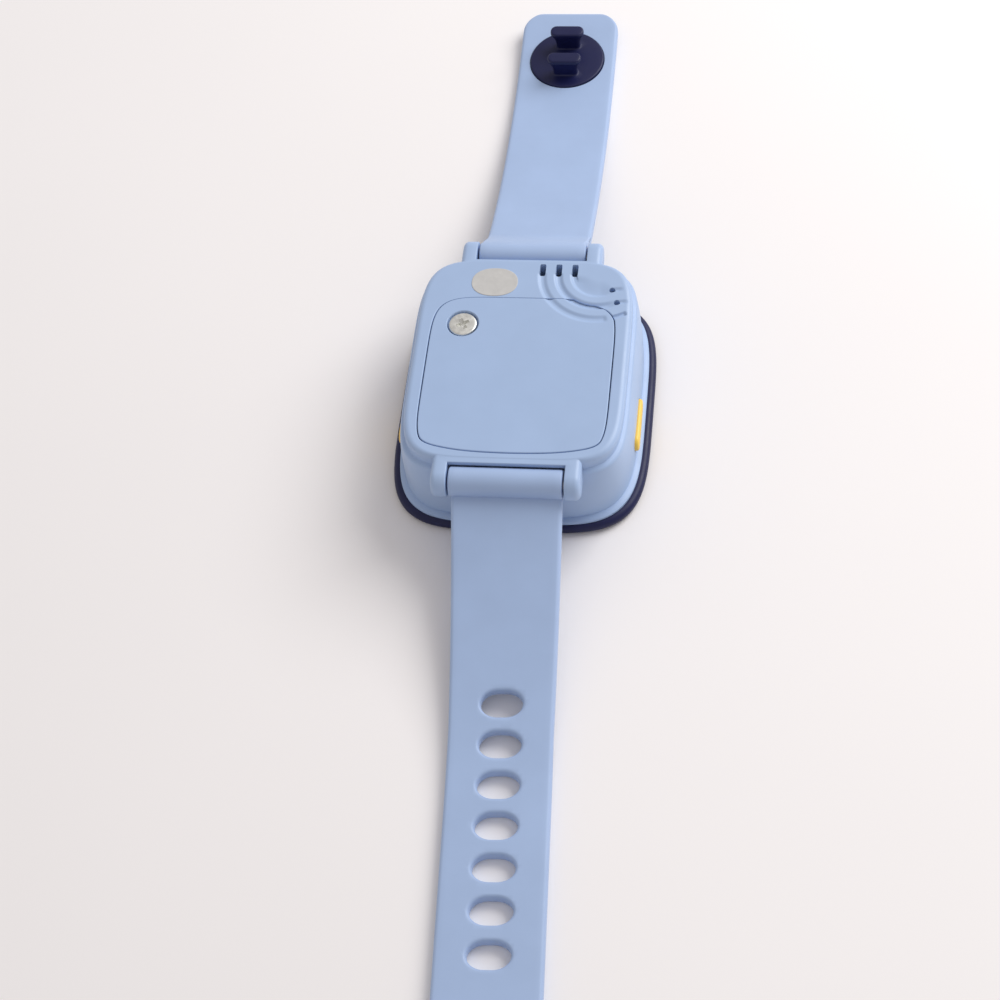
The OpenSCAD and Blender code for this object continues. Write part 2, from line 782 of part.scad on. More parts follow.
module side_button(side) {
    inner = button_seat_x - seat_gap;
    color(button_yellow) {
        translate([side > 0 ? inner - seat_gap : -button_face_x, button_y, button_z])
            rotate([90, 0, 90]) linear_extrude(button_face_x - inner + seat_gap) pill(button_l, button_h);
        translate([side > 0 ? inner - button_flange : -inner, button_y, button_z])
            rotate([90, 0, 90]) linear_extrude(button_flange)
                pill(button_l + 2 * button_flange, button_h + 2 * button_flange);
    }
}

module side_button_left() {
    side_button(-1);
}

module side_button_right() {
    side_button(1);
}

// Spring bar through a strap's knuckle, with a thin tip in each lug
module strap_pin(end) {
    half = lug_in_x - spigot_gap;
    color(steel) translate([0, end * pin_y, pin_z]) rotate([0, 90, 0]) rotate_extrude()
        polygon([[0, -half - pin_tip_l], [pin_tip_r, -half - pin_tip_l], [pin_tip_r, -half], [pin_r, -half],
            [pin_r, half], [pin_tip_r, half], [pin_tip_r, half + pin_tip_l], [0, half + pin_tip_l]]);
}

module strap_pin_long() {
    strap_pin(-1);
}

module strap_pin_short() {
    strap_pin(1);
}

// Slope of a strap at a distance from its pin: straight, then bending up to its last slope
function strap_slope(s, lift) =
    min(lift, max(-strap_droop_angle, -strap_droop_angle + (s - strap_straight) / strap_bend_r * 180 / PI));

// Length of a strap up to the end of its bend
function strap_bent(lift) = strap_straight + strap_bend_r * (strap_droop_angle + lift) * PI / 180;

// Centre of a strap's bend, and a point of its front face, as distance out from the case and height
strap_bend_y = strap_start.x + strap_straight * cos(strap_droop_angle)
    + strap_bend_r * sin(strap_droop_angle);
function on_bend(slope) = [strap_bend_y + strap_bend_r * sin(slope), strap_bend_r * (1 - cos(slope))];
function strap_point(s, lift) =
    s < strap_straight ? strap_start + s * [cos(strap_droop_angle), -sin(strap_droop_angle)]
    : s < strap_bent(lift) ? on_bend(strap_slope(s, lift))
    : on_bend(lift) + (s - strap_bent(lift)) * [cos(lift), sin(lift)];

// How far a leaning strap has moved sideways at a distance from its pin
function strap_aside(s, lift, lean) = (strap_point(s, lift).x - strap_start.x) * tan(lean);

// Cross-section of a strap with rounded edges, from its front face at height zero
function strap_section(w) = [
    for (corner = [0 : 3])
        for (k = [0 : strap_edge_steps])
            let (
                turn = 90 * (corner + k / strap_edge_steps),
                u = (corner == 0 || corner == 3 ? 1 : -1) * (w / 2 - strap_edge_r),
                v = corner < 2 ? strap_t - strap_edge_r : strap_edge_r
            )
            [u + strap_edge_r * cos(turn), v + strap_edge_r * sin(turn)]
];

// One ring of a strap: its cross-section set square to the strap at a distance from the pin
function strap_ring(s, w, lift, lean) =
    let (p = strap_point(s, lift), slope = strap_slope(s, lift), aside = strap_aside(s, lift, lean))
    [for (q = strap_section(w)) [aside - q.x, p.x - q.y * sin(slope), p.y + q.y * cos(slope)]];

// Width of a strap: a straight taper, then rounded corners at its tip
function strap_width(s, long, w_end, tip_r) =
    let (
        w = mix(strap_w - 2 * knuckle_side, w_end, min(1, s / strap_taper_l)),
        left = min(tip_r, long - s)
    )
    w - 2 * (tip_r - sqrt(tip_r * tip_r - (tip_r - left) * (tip_r - left)));

// Plate of a strap with its knuckle, pointing along +Y from the case
module strap_plate(long, w_end, tip_r, lift, lean) {
    bend = [for (i = [0 : strap_bend_steps]) mix(strap_straight, strap_bent(lift), i / strap_bend_steps)];
    taper = strap_taper_l > strap_bent(lift) ? [strap_taper_l] : [];
    tip = [for (i = [0 : strap_tip_steps]) long - tip_r * (1 - sin(90 * i / strap_tip_steps))];
    places = concat([0], bend, taper, tip);
    difference() {
        union() {
            loft([for (s = places) strap_ring(s, strap_width(s, long, w_end, tip_r), lift, lean)]);
            translate([-strap_w / 2, pin_y, pin_z]) rotate([0, 90, 0]) cylinder(r = knuckle_r, h = strap_w);
        }
        translate([-strap_w, pin_y, pin_z]) rotate([0, 90, 0])
            cylinder(r = pin_r + pin_fit, h = 2 * strap_w);
    }
}

// Places something on a strap's front face at a distance from the pin
module on_strap(s, lift, lean) {
    p = strap_point(s, lift);
    translate([strap_aside(s, lift, lean), p.x, p.y]) rotate([strap_slope(s, lift), 0, -lean]) children();
}

module strap_long() {
    color(strap_blue) rotate([0, 0, 180]) difference() {
        strap_plate(strap_long_l, strap_end_w, strap_long_tip_r, 0, -strap_lean_angle);
        for (i = [0 : hole_count - 1])
            on_strap(hole_first + i * hole_pitch, 0, -strap_lean_angle)
                translate([0, 0, -overrun]) linear_extrude(strap_t + 2 * overrun) pill(hole_w, hole_l);
    }
}

module strap_short() {
    color(strap_blue) difference() {
        strap_plate(strap_short_l, strap_w, strap_short_tip_r, strap_lift_angle, 0);
        on_strap(stud_place, strap_lift_angle, 0) {
            post(0, 0, neck_r + spigot_gap, -overrun, strap_t + overrun);
            post(0, 0, stud_r + spigot_gap, -overrun, cap_top);
            post(0, 0, stud_r + spigot_gap, strap_t + stud_proud - stud_t, strap_t + overrun);
        }
    }
}

module clasp_stud() {
    disc_z = strap_t + stud_proud;
    stem = [peg_w - 2 * stem_inset, peg_l - stem_inset];
    color(navy) on_strap(stud_place, strap_lift_angle, 0) {
        post(0, 0, stud_r, disc_z - stud_t + seat_gap, disc_z);
        difference() {
            post(0, 0, neck_r, cap_top + seat_gap, disc_z - stud_t / 2);
            post(0, 0, neck_r - neck_wall, 0, disc_z - stud_t);
        }
        for (side = [-1, 1]) translate([0, side * hole_pitch / 2, disc_z - seat_gap]) {
            linear_extrude(peg_h) soft_rectangle(stem, peg_corner_r);
            translate([0, 0, peg_h - peg_head_t]) linear_extrude(peg_head_t)
                soft_rectangle([peg_w, peg_l], peg_corner_r);
        }
    }
}

module clasp_cap() {
    color(navy) on_strap(stud_place, strap_lift_angle, 0) {
        post(0, 0, stud_r, cap_sink, cap_top - seat_gap);
        post(0, 0, neck_r - neck_wall - spigot_gap, cap_sink, strap_t + stud_proud - stud_t - seat_gap);
    }
}

rear_case();
bezel();
lens();
display_module();
display_ribbon();
circuit_board();
chip();
button_switches();
speaker();
speaker_leads();
coin_cell();
contact_positive();
contact_negative();
battery_door();
door_screw();
screw_clip();
case_screws();
quality_sticker();
side_button_left();
side_button_right();
strap_pin_long();
strap_pin_short();
strap_long();
strap_short();
clasp_stud();
clasp_cap();
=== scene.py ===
"""Toy watch lying face down with its straps opened out: moulded case, door, straps, clasp, front and stage.

Shapes are worked out in millimetres, and new_object() brings them to metres.
"""

import math
from types import SimpleNamespace

import bmesh
import bpy
import numpy as np
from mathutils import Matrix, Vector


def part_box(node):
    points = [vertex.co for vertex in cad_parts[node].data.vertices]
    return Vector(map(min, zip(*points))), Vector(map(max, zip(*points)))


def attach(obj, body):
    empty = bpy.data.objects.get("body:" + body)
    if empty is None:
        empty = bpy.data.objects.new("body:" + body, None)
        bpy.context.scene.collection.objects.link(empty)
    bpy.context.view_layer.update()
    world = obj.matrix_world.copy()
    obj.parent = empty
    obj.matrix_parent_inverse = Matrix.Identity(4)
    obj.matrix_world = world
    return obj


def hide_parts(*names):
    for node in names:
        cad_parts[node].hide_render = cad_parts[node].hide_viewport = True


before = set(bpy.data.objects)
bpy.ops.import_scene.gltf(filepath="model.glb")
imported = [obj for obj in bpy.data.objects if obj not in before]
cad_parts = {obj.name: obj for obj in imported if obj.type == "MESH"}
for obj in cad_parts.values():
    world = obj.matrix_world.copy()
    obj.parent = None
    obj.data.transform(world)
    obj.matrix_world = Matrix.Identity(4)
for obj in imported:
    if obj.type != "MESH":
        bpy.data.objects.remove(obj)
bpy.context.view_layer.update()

bl_info = {
    "name": "Toy watch",
    "version": (1, 0, 0),
    "blender": (4, 5, 0),
    "location": "3D View > Sidebar > Toy watch",
    "description": "Dresses the toy watch: moulded pieces, finishes, light and camera",
    "category": "Object",
}

MM = 0.001
ROUND = 2 * math.pi
BOTH = (-1, 1)              # left and right, or near and far
BEYOND = 1000.0             # farther than any outline reaches
SHARP = math.radians(32)    # edges that turn more than this stay sharp
SEAM_EDGE = 0.16            # rounding of the edges along the door's seam


def mm(note, *values):
    """Length, or several in one property, written in millimetres and held in metres."""
    common = {"description": note, "unit": "LENGTH", "precision": 5}
    if len(values) == 1:
        return bpy.props.FloatProperty(default=values[0] * MM, **common)
    return bpy.props.FloatVectorProperty(size=len(values), default=[v * MM for v in values], **common)


def share(note, value):
    """Plain share between nought and one."""
    return bpy.props.FloatProperty(description=note, default=value, min=0, max=1, subtype="FACTOR")


def slope(note, degrees):
    """Angle, written in degrees and held in radians."""
    return bpy.props.FloatProperty(description=note, default=math.radians(degrees), unit="ROTATION")


def tint(note, *levels):
    """Colour, written as screen levels up to 255 and held as linear light."""
    light = [(v / 255 / 12.92) if v <= 10 else ((v / 255 + 0.055) / 1.055) ** 2.4 for v in levels]
    return bpy.props.FloatVectorProperty(
        description=note, size=3, default=light, min=0, max=1, subtype="COLOR")


class CaseSizes(bpy.types.PropertyGroup):
    """Half sizes and heights of the case's outer skin, and its lugs."""

    rim: mm("Half width and half length of the bezel", 23.6, 26.7)
    lip: mm("Half sizes of the lip above the bezel", 22.3, 25.95)
    foot: mm("Half sizes at the foot of the flank", 21.4, 24.9)
    shoulder: mm("Half sizes at the shoulder", 20.5, 23.65)
    panel: mm("Half sizes of the back panel's wall", 19.65, 22.9)
    panel_flat: mm("Half sizes of the panel inside its rounded edge", 18.5, 22.2)
    cavity: mm("Half sizes of the hollow, low and high", 19.1, 22.2, 17.9, 21.5)
    cavity_heights: mm("Low hollow's top, high hollow's bottom and top", 10.2, 10.4, 15.2)
    roundness: share("One is an ellipse, nought a rectangle", 0.465)
    panel_roundness: share("Roundness at the shoulder and the panel", 0.36)
    height: mm("Back panel above the table", 17.6)
    fillet_height: mm("Start of the panel's rounded edge", 16.6)
    crease_height: mm("Foot of the panel's wall", 15.0)
    shoulder_height: mm("Top of the flank", 14.3)
    foot_height: mm("Bottom of the flank", 3.05)
    lip_top: mm("Upper edge of the lip", 2.75)
    bezel_height: mm("Seam between bezel and case", 2.2)
    pin_out: mm("Strap pin's distance from the middle", 25.7)
    pin_height: mm("Strap pin above the table", 14.8)
    lug_inside: mm("Inner face of a lug", 10.35)
    lug_thickness: mm("Thickness of a lug", 2.8)
    lug_radius: mm("Rounding of a lug about the pin", 2.75)
    lug_soft: mm("Rounding of a lug's inner and outer edges", 0.18, 1.05)
    lug_root: mm("How far a lug reaches back into the case", 4.6)
    lug_dip: mm("Lugs and strip below the panel", 0.05)
    recess: mm("Radius of the room for a strap's knuckle", 2.9)
    strip: mm("Inner edge of the strips between the lugs, near and far outer edge", 21.4, 23.5, 22.8)


class GrilleSizes(bpy.types.PropertyGroup):
    """Wave grooves and sound slots over the speaker."""

    middle: mm("Common middle of the waves", 12.95, 19.45)
    radius: mm("Innermost groove", 4.5)
    pitch: mm("From one groove to the next", 3.0)
    groove_width: mm("Width of a groove", 1.5)
    groove_soft: mm("Softness of a groove's walls", 0.62)
    groove_depth: mm("Depth of a groove", 0.4)
    slot: mm("Width and length of a sound slot", 1.15, 2.6)
    slot_rise: mm("Slots' middle past the waves' middle", 0.95)
    through: mm("Lower and upper end of the cuts for the sound", 14.0, 18.5)


class DoorSizes(bpy.types.PropertyGroup):
    """Battery door, its seam, tabs and screw, and the bay below it."""

    half: mm("Half width and half length", 16.8, 17.525)
    middle: mm("Middle of the door", 0.0, -3.975)
    roundness: share("Roundness of the door's outline", 0.32)
    gap: mm("Seam round the door", 0.2)
    wave_cut: mm("Bay cut round the waves' middle", 7.3)
    bow: mm("Radius of the bowed near edge", 59.0)
    bow_blend: mm("Blend between the bowed edge and the sides", 1.4)
    corner: mm("Middle and radius of the corner beside the waves", 11.3, 6.8, 5.5)
    under: mm("Underside of the door", 16.15)
    screw: mm("Place of the screw", -11.1, 7.35)
    head_radius: mm("Radius of the screw's head", 2.6)
    sink_radius: mm("Sunk seat of the head", 2.9)
    cell_middle: mm("Middle of the cell's pocket", 0.0, -5.8)
    cell_radius: mm("Cell's pocket", 12.6)
    bay_low: mm("Half sizes of the bay between the side buttons", 16.9, 20.5)
    tab: mm("Place across and along, width and reach of a tab", 4.6, -21.07, 5.0, 0.8)


class StrapSizes(bpy.types.PropertyGroup):
    """Both straps: their run from the pin down to the table, widths, tips and holes."""

    thickness: mm("Thickness of a strap", 2.4)
    edge: mm("Rounding of the edges", 0.7)
    width: mm("Width of the plate at the pin", 19.7)
    long_width: mm("Long strap past its taper", 17.8)
    short_width: mm("Short strap's end", 20.0)
    taper: mm("Length of the taper", 45.0)
    long_length: mm("Long strap along its front", 109.0)
    short_length: mm("Short strap along its front", 80.4)
    long_tip: mm("Corner radius of the long strap's tip", 6.8)
    short_tip: mm("Corner radius of the short strap's tip", 4.6)
    droop: slope("Slope at the pin", 21.5)
    lift: slope("Slope of the short strap's tip", 7)
    lean: slope("Sideways lean of the long strap", 3)
    bend: mm("Bend radius above the table", 140.0)
    knuckle: mm("Radius and width of the knuckle", 2.6, 20.0)
    root: mm("Start and end of the short strap's blend, out from the pin", 0.9, 8.5)
    bore: mm("Radius of the pin's bore", 0.8)
    hole: mm("Width and length of a hole", 7.2, 4.7)
    hole_soft: mm("Rounding of a hole's rims", 0.6)
    hole_first: mm("First hole from the pin", 39.7)
    hole_pitch: mm("From hole to hole", 7.4)
    hole_count: bpy.props.IntProperty(description="Number of holes", default=7, min=1, max=7)


class ClaspSizes(bpy.types.PropertyGroup):
    """Clasp's disc, pegs and cap on the short strap."""

    place: mm("Clasp from the pin along the strap", 67.2)
    radius: mm("Radius of the disc", 7.7)
    thickness: mm("Thickness of the disc", 0.95)
    proud: mm("Disc above the strap", 0.5)
    head: mm("Width, length and thickness of a peg's head", 6.9, 2.8, 1.1)
    stem: mm("Width and length of a peg's stem", 4.9, 1.8)
    corner: mm("Corner radius of a peg's stem and head", 0.7, 1.3)
    peg_height: mm("Peg above the disc", 4.55)
    cap: mm("Lower and upper face of the cap, above the strap's front", 0.3, 1.05)
    neck: mm("Neck through the strap", 5.4)


class FrontSizes(bpy.types.PropertyGroup):
    """Lens and window of the front, and the side buttons."""

    lens: mm("Half sizes of the lens", 18.8, 20.5)
    lens_thickness: mm("Thickness of the lens", 1.15)
    window: mm("Half sizes of the window", 13.0, 13.3)
    window_shift: mm("Window's middle towards the short strap", 0.6)
    ledge: mm("Ledge under the lens, above the table", 1.2)
    inside: mm("Half sizes of the bezel's inner wall", 19.3, 22.4)
    roundness: share("Roundness of lens and window", 0.36)
    button: mm("Length and height of a side button", 10.9, 3.0)
    button_place: mm("Along the case and above the table", -6.3, 6.4)
    button_reach: mm("Flange's inner and outer face, and the button's face", 18.2, 19.0, 22.0)


class WatchFinishes(bpy.types.PropertyGroup):
    """Colours of the moulded pieces."""

    case_blue: tint("Hard plastic of the case and door", 163, 186, 221)
    strap_blue: tint("Soft plastic of the straps", 162, 184, 220)
    navy: tint("Bezel and clasp", 17, 22, 68)
    yellow: tint("Side buttons", 246, 205, 88)
    sticker: tint("Bare oval sticker", 196, 195, 193)
    steel: tint("Screws, pins, cell and contacts", 196, 196, 192)
    table: tint("Floor", 247, 244, 244)


class StageSettings(bpy.types.PropertyGroup):
    """Camera, lamp, sky and floor."""

    camera_place: mm("Where the camera stands", 48.668, -229.943, 314.246)
    camera_turn: bpy.props.FloatVectorProperty(
        description="Turn about X, Y and Z", size=3, subtype="EULER",
        default=[math.radians(v) for v in (34.2302, 5.4246, 5.9103)])
    camera_lens: bpy.props.FloatProperty(
        description="Focal length for a sensor 36 mm wide", default=75.6, unit="CAMERA")
    key_place: mm("Where the large soft lamp stands", 420.0, 380.0, 500.0)
    key_power: bpy.props.FloatProperty(
        description="Large soft lamp on the right", default=4.4, unit="POWER")
    key_width: mm("Width of the lamp", 500.0)
    sky: bpy.props.FloatProperty(description="Even light from all round", default=0.54, min=0)
    floor_reach: mm("Floor from the middle to each side", 3000.0)


def settings(context, *names):
    """Groups of sizes as plain numbers and arrays, with their lengths in millimetres."""
    made = []
    for name in names:
        group, plain = getattr(context.scene, "watch_" + name), SimpleNamespace()
        for word in type(group).__annotations__:
            value = getattr(group, word)
            value = value if isinstance(value, (int, float)) else np.array(value)
            long = group.bl_rna.properties[word].unit == "LENGTH"
            setattr(plain, word, value / MM if long else value)
        made.append(plain)
    return made


def solid_box(node):
    """Lower and upper corner of a solid, in millimetres."""
    return [np.array(corner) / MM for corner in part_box(node)]


def smooth(low, high, value):
    """Soft step from nought at low to one at high: three squares less two cubes of the way between."""
    way = np.clip((value - low) / (high - low), 0, 1)
    return way * way * (3 - 2 * way)


def turns(count):
    """Equal angles once round."""
    return np.linspace(0, ROUND, count, endpoint=False)


def spread(count, *sectors):
    """Angles once round, closer together near each sector (middle, width, weight): equal steps of the
    running sum of one plus the weighted bells, read back as angles."""
    fine = np.linspace(0, ROUND, 14401)
    weight = np.ones_like(fine)
    for middle, width, extra in sectors:
        off = (fine - middle + math.pi) % ROUND - math.pi
        weight = weight + extra * np.exp(-(off / width) ** 2)
    total = np.concatenate(([0], np.cumsum((weight[1:] + weight[:-1]) / 2)))
    return np.interp(np.linspace(0, total[-1], count, endpoint=False), total, fine)


def reach(half, roundness, angles, origin=(0.0, 0.0)):
    """Distance from a point inside, along each angle, to the soft rectangle where the two shares of the
    half sizes, each to the power of two over the roundness, add up to one; found by halving."""
    power = 2 / roundness
    low = np.zeros_like(angles)
    high = np.full_like(angles, 2 * (half[0] + half[1]))
    for _ in range(48):
        far = (low + high) / 2
        x = origin[0] + far * np.cos(angles)
        y = origin[1] + far * np.sin(angles)
        inside = np.abs(x / half[0]) ** power + np.abs(y / half[1]) ** power < 1
        low = np.where(inside, far, low)
        high = np.where(inside, high, far)
    return (low + high) / 2


def polar(far, angles, height, middle=(0.0, 0.0)):
    """Spots at a distance from a middle along each angle, at a height."""
    x, y = middle[0] + far * np.cos(angles), middle[1] + far * np.sin(angles)
    return np.stack(np.broadcast_arrays(x, y, height), -1)


def ring(half, roundness, angles, height, middle=(0.0, 0.0)):
    """Level ring of a soft rectangle: its reach along each angle from its own middle."""
    return polar(reach(half, roundness, angles), angles, height, middle)


def lathe(profile, angles, middle=(0.0, 0.0)):
    """Rings of an upright turned shape from its rows of radius and height."""
    return [polar(radius, angles, height, middle) for radius, height in profile]


def soft_box(size, corner, count, inset=0.0):
    """Rectangle with round corners: a circle of the corner's radius less the inset, pulled out to the
    four corners."""
    turn = turns(count) + ROUND / count / 2
    unit = np.stack((np.cos(turn), np.sin(turn)), -1)
    pull = np.where(unit > 0, 1, -1) * (np.array(size) / 2 - max(corner, inset))
    return pull + max(corner - inset, 0.02) * unit


def pill(long, wide, count, inset=0.0):
    """Outline with round ends, long along the first axis."""
    return soft_box((long, wide), wide / 2, count, inset)


def oval(long, wide, count):
    """Outline half way between round ends and an ellipse of the same length and width."""
    turn = turns(count) + ROUND / count / 2
    ellipse = np.stack((long / 2 * np.cos(turn), wide / 2 * np.sin(turn)), -1)
    return (pill(long, wide, count) + ellipse) / 2


def quarter(steps, last=90.0):
    """Pairs of cosine and sine from nought to part of a quarter turn, for rounded edges."""
    turn = np.radians(np.linspace(0, last, steps))
    return np.stack((np.cos(turn), np.sin(turn)), -1)


def fillet(out, top, soft, steps, side=1, last=90.0):
    """Rounded edge as rows of reach and height: up the wall at out, and drawn in to the top by a quarter
    round, or drawn out to it where the side is minus one."""
    return [(out - side * soft * (1 - c), top - soft * (1 - s)) for c, s in quarter(steps, last)]


def level(plan, height):
    """Outline of X and Y at a height."""
    return np.column_stack((plan, np.full(len(plan), height)))


def upright(x, outline):
    """Outline of Y and Z at a place across."""
    return np.column_stack((np.full(len(outline), x), outline))


def surface(rings, loop=False):
    """Vertices and faces of stacked closed rings, rows by columns: quads between neighbours, joined to
    the first row where it loops, or else closed by a fan about the mean of each end ring."""
    points = np.asarray(rings)
    rows, columns = points.shape[:2]
    spots = points.reshape(-1, 3)
    row = np.arange(rows if loop else rows - 1)[:, None]
    column = np.arange(columns)[None, :]
    after = (column + 1) % columns
    above = (row + 1) % rows
    quads = np.stack((row * columns + column, row * columns + after,
                      above * columns + after, above * columns + column), -1)
    faces = quads.reshape(-1, 4).tolist()
    if not loop:
        spots = np.concatenate((spots, points[0].mean(0)[None], points[-1].mean(0)[None]))
        first, last, end = rows * columns, rows * columns + 1, (rows - 1) * columns
        ones = np.ones_like(column[0])
        faces += np.stack((column[0], first * ones, after[0]), -1).tolist()
        faces += np.stack((end + after[0], last * ones, end + column[0]), -1).tolist()
    return spots, faces


def along_x(outline, low, high):
    """Straight bar along X over an outline of Y and Z."""
    return surface([upright(x, outline) for x in (low, high)])


def box(low, high):
    """Plain block between two corners."""
    (x0, y0, z0), (x1, y1, z1) = low, high
    plan = np.array(((x0, y0), (x1, y0), (x1, y1), (x0, y1)))
    return surface([level(plan, z) for z in (z0, z1)])


def together(shapes):
    """One set of vertices and faces from several closed shapes that do not touch."""
    spots, faces, base = [], [], 0
    for points, polygons in shapes:
        spots.append(points)
        faces += [[base + i for i in polygon] for polygon in polygons]
        base += len(points)
    return np.concatenate(spots), faces


def new_object(name, shape):
    """Object with the shape, brought to metres, as its mesh, faces turned outwards."""
    mesh = bpy.data.meshes.new(name)
    mesh.from_pydata((shape[0] * MM).tolist(), [], shape[1])
    work = bmesh.new()
    work.from_mesh(mesh)
    bmesh.ops.recalc_face_normals(work, faces=work.faces)
    work.to_mesh(mesh)
    work.free()
    mesh.update()
    made = bpy.data.objects.new(name, mesh)
    bpy.context.scene.collection.objects.link(made)
    return made


def carve(body, operation, shape):
    """Adds or cuts a closed shape with the Boolean modifier and keeps the result as the mesh."""
    tool = new_object("tool", shape)
    step = body.modifiers.new("carve", "BOOLEAN")
    step.operation = operation
    step.solver = "MANIFOLD"
    step.object = tool
    graph = bpy.context.evaluated_depsgraph_get()
    result = bpy.data.meshes.new_from_object(body.evaluated_get(graph))
    if len(result.polygons) == 0:
        raise RuntimeError("nothing left of " + body.name)
    before, used = body.data, tool.data
    body.modifiers.clear()
    body.data = result
    result.name = body.name
    bpy.data.meshes.remove(before)
    bpy.data.objects.remove(tool)
    bpy.data.meshes.remove(used)


def piece(name, shape, body, slot, finish, *nodes, add=(), cut=()):
    """Visible piece: a shape with others added and then cut away, shaded, with its finish, riding on its
    body in place of the solids."""
    made = new_object(name, shape)
    for other in add:
        carve(made, "UNION", other)
    for other in cut:
        carve(made, "DIFFERENCE", other)
    mesh = made.data
    mesh.polygons.foreach_set("use_smooth", np.ones(len(mesh.polygons), dtype=bool))
    mesh.set_sharp_from_angle(angle=SHARP)
    put_on(mesh, finish)
    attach(made, body)
    if nodes:
        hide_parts(*nodes)


def put_on(mesh, finish):
    """One finish put on a mesh."""
    mesh.materials.clear()
    mesh.materials.append(finish_of(finish))


def scaled(colour, by):
    """Colour made lighter or darker."""
    return [min(1.0, c * by) for c in colour]


class Finish:
    """New finish: its tree, shader and Object coordinates, with plain values set on the shader."""

    def __init__(self, name, **sockets):
        made = bpy.data.materials.new(name)
        made.use_nodes = True
        self.made, self.tree = made, made.node_tree
        self.shader = self.tree.nodes["Principled BSDF"]
        self.fill(self.shader, sockets)
        self.place = self.tree.nodes.new("ShaderNodeTexCoord").outputs["Object"]

    def fill(self, node, sockets):
        """Inputs of a node set to plain values, or linked where the value is another node's output."""
        for word, value in sockets.items():
            socket = node.inputs[word.replace("_", " ")]
            if isinstance(value, bpy.types.NodeSocket):
                self.tree.links.new(value, socket)
            else:
                socket.default_value = value

    def node(self, kind, **sockets):
        """New node with its inputs filled."""
        node = self.tree.nodes.new("ShaderNode" + kind)
        self.fill(node, sockets)
        return node

    def noise(self, scale, detail=4.0, rough=0.55, stretch=None):
        """Noise value over the surface, stretched along the axes where asked."""
        place = self.place
        if stretch:
            place = self.node("Mapping", Vector=place, Scale=stretch).outputs["Vector"]
        return self.node("TexNoise", Vector=place, Scale=scale, Detail=detail, Roughness=rough).outputs["Fac"]

    def colour(self, value, low, high, ends=(0.3, 0.7)):
        """Base colour from a value: from the low to the high colour between the two ends."""
        node = self.node("ValToRGB", Fac=value)
        for element, place, tone in zip(node.color_ramp.elements, ends, (low, high)):
            element.position, element.color = place, (*tone, 1)
        self.fill(self.shader, {"Base Color": node.outputs["Color"]})

    def gloss(self, value, low, high):
        """Roughness from the middle of a noise's range, moved to the range from low to high."""
        node = self.node("MapRange", Value=value, From_Min=0.3, From_Max=0.7, To_Min=low, To_Max=high)
        self.fill(self.shader, {"Roughness": node.outputs["Result"]})

    def relief(self, value, strength, depth):
        """Fine relief from a value, its depth in millimetres."""
        node = self.node("Bump", Height=value, Strength=strength, Distance=depth * MM)
        self.fill(self.shader, {"Normal": node.outputs["Normal"]})


def plastic(name, colour, gloss, drift=0.04, grain=2600, strength=0.12, **sockets):
    """Moulded plastic: slow drift of colour, patchy gloss and a fine grain from the mould."""
    finish = Finish(name, **sockets)
    finish.colour(finish.noise(90, 3), scaled(colour, 1 - drift), scaled(colour, 1 + drift))
    finish.gloss(finish.noise(260, 5), *gloss)
    finish.relief(finish.noise(grain, 2), strength, 0.03)


def metal(name, colour, gloss, stretch=(1, 1, 1), scale=900, lighter=1.0):
    """Brushed or cast metal: streaked noise turned into colour, gloss and fine relief."""
    finish, colour = Finish(name, Metallic=1.0), scaled(colour, lighter)
    streak = finish.noise(scale, 5, 0.6, stretch)
    finish.colour(streak, scaled(colour, 0.86), scaled(colour, 1.08))
    finish.gloss(streak, *gloss)
    finish.relief(streak, 0.15, 0.02)


def film(name, colour):
    """Bare sticker: flecked colour with a soft gloss."""
    finish = Finish(name, Specular_IOR_Level=0.4)
    fleck = finish.noise(700, 6, 0.7)
    finish.colour(fleck, scaled(colour, 0.93), scaled(colour, 1.05))
    finish.gloss(finish.noise(300, 3), 0.42, 0.55)
    finish.relief(fleck, 0.1, 0.02)


def clear(name, colour):
    """Clear moulded lens, faintly uneven."""
    finish = Finish(name, Base_Color=(*colour, 1), Transmission_Weight=0.96, IOR=1.49)
    finish.gloss(finish.noise(420, 6, 0.7), 0.02, 0.07)
    finish.relief(finish.noise(60, 2), 0.04, 0.02)


def screen(name, colour):
    """Dark display: square cells in two close tones with darker lines between them."""
    finish = Finish(name, Coat_Weight=0.4, Coat_Roughness=0.08)
    cells = finish.node("TexBrick", Vector=finish.place, Scale=3200.0, Mortar_Size=0.06, Brick_Width=1.0,
                        Row_Height=1.0, Color1=(*colour, 1), Color2=(0.017, 0.02, 0.028, 1),
                        Mortar=(0.006, 0.007, 0.01, 1))
    cells.offset = 0.0
    finish.fill(finish.shader, {"Base Color": cells.outputs["Color"]})
    finish.gloss(finish.noise(200), 0.12, 0.22)


def board(name, colour):
    """Lacquered board: wandering tracks, a little lighter and raised."""
    finish = Finish(name, Coat_Weight=0.3, Coat_Roughness=0.2)
    wave = finish.node("TexWave", Vector=finish.place, Scale=420.0, Distortion=5.0, Detail=2.0, Detail_Scale=1.5)
    wave.bands_direction = "DIAGONAL"
    tracks = wave.outputs["Fac"]
    finish.colour(tracks, colour, (0.015, 0.15, 0.06), (0.42, 0.55))
    finish.gloss(finish.noise(500), 0.3, 0.45)
    finish.relief(tracks, 0.2, 0.03)


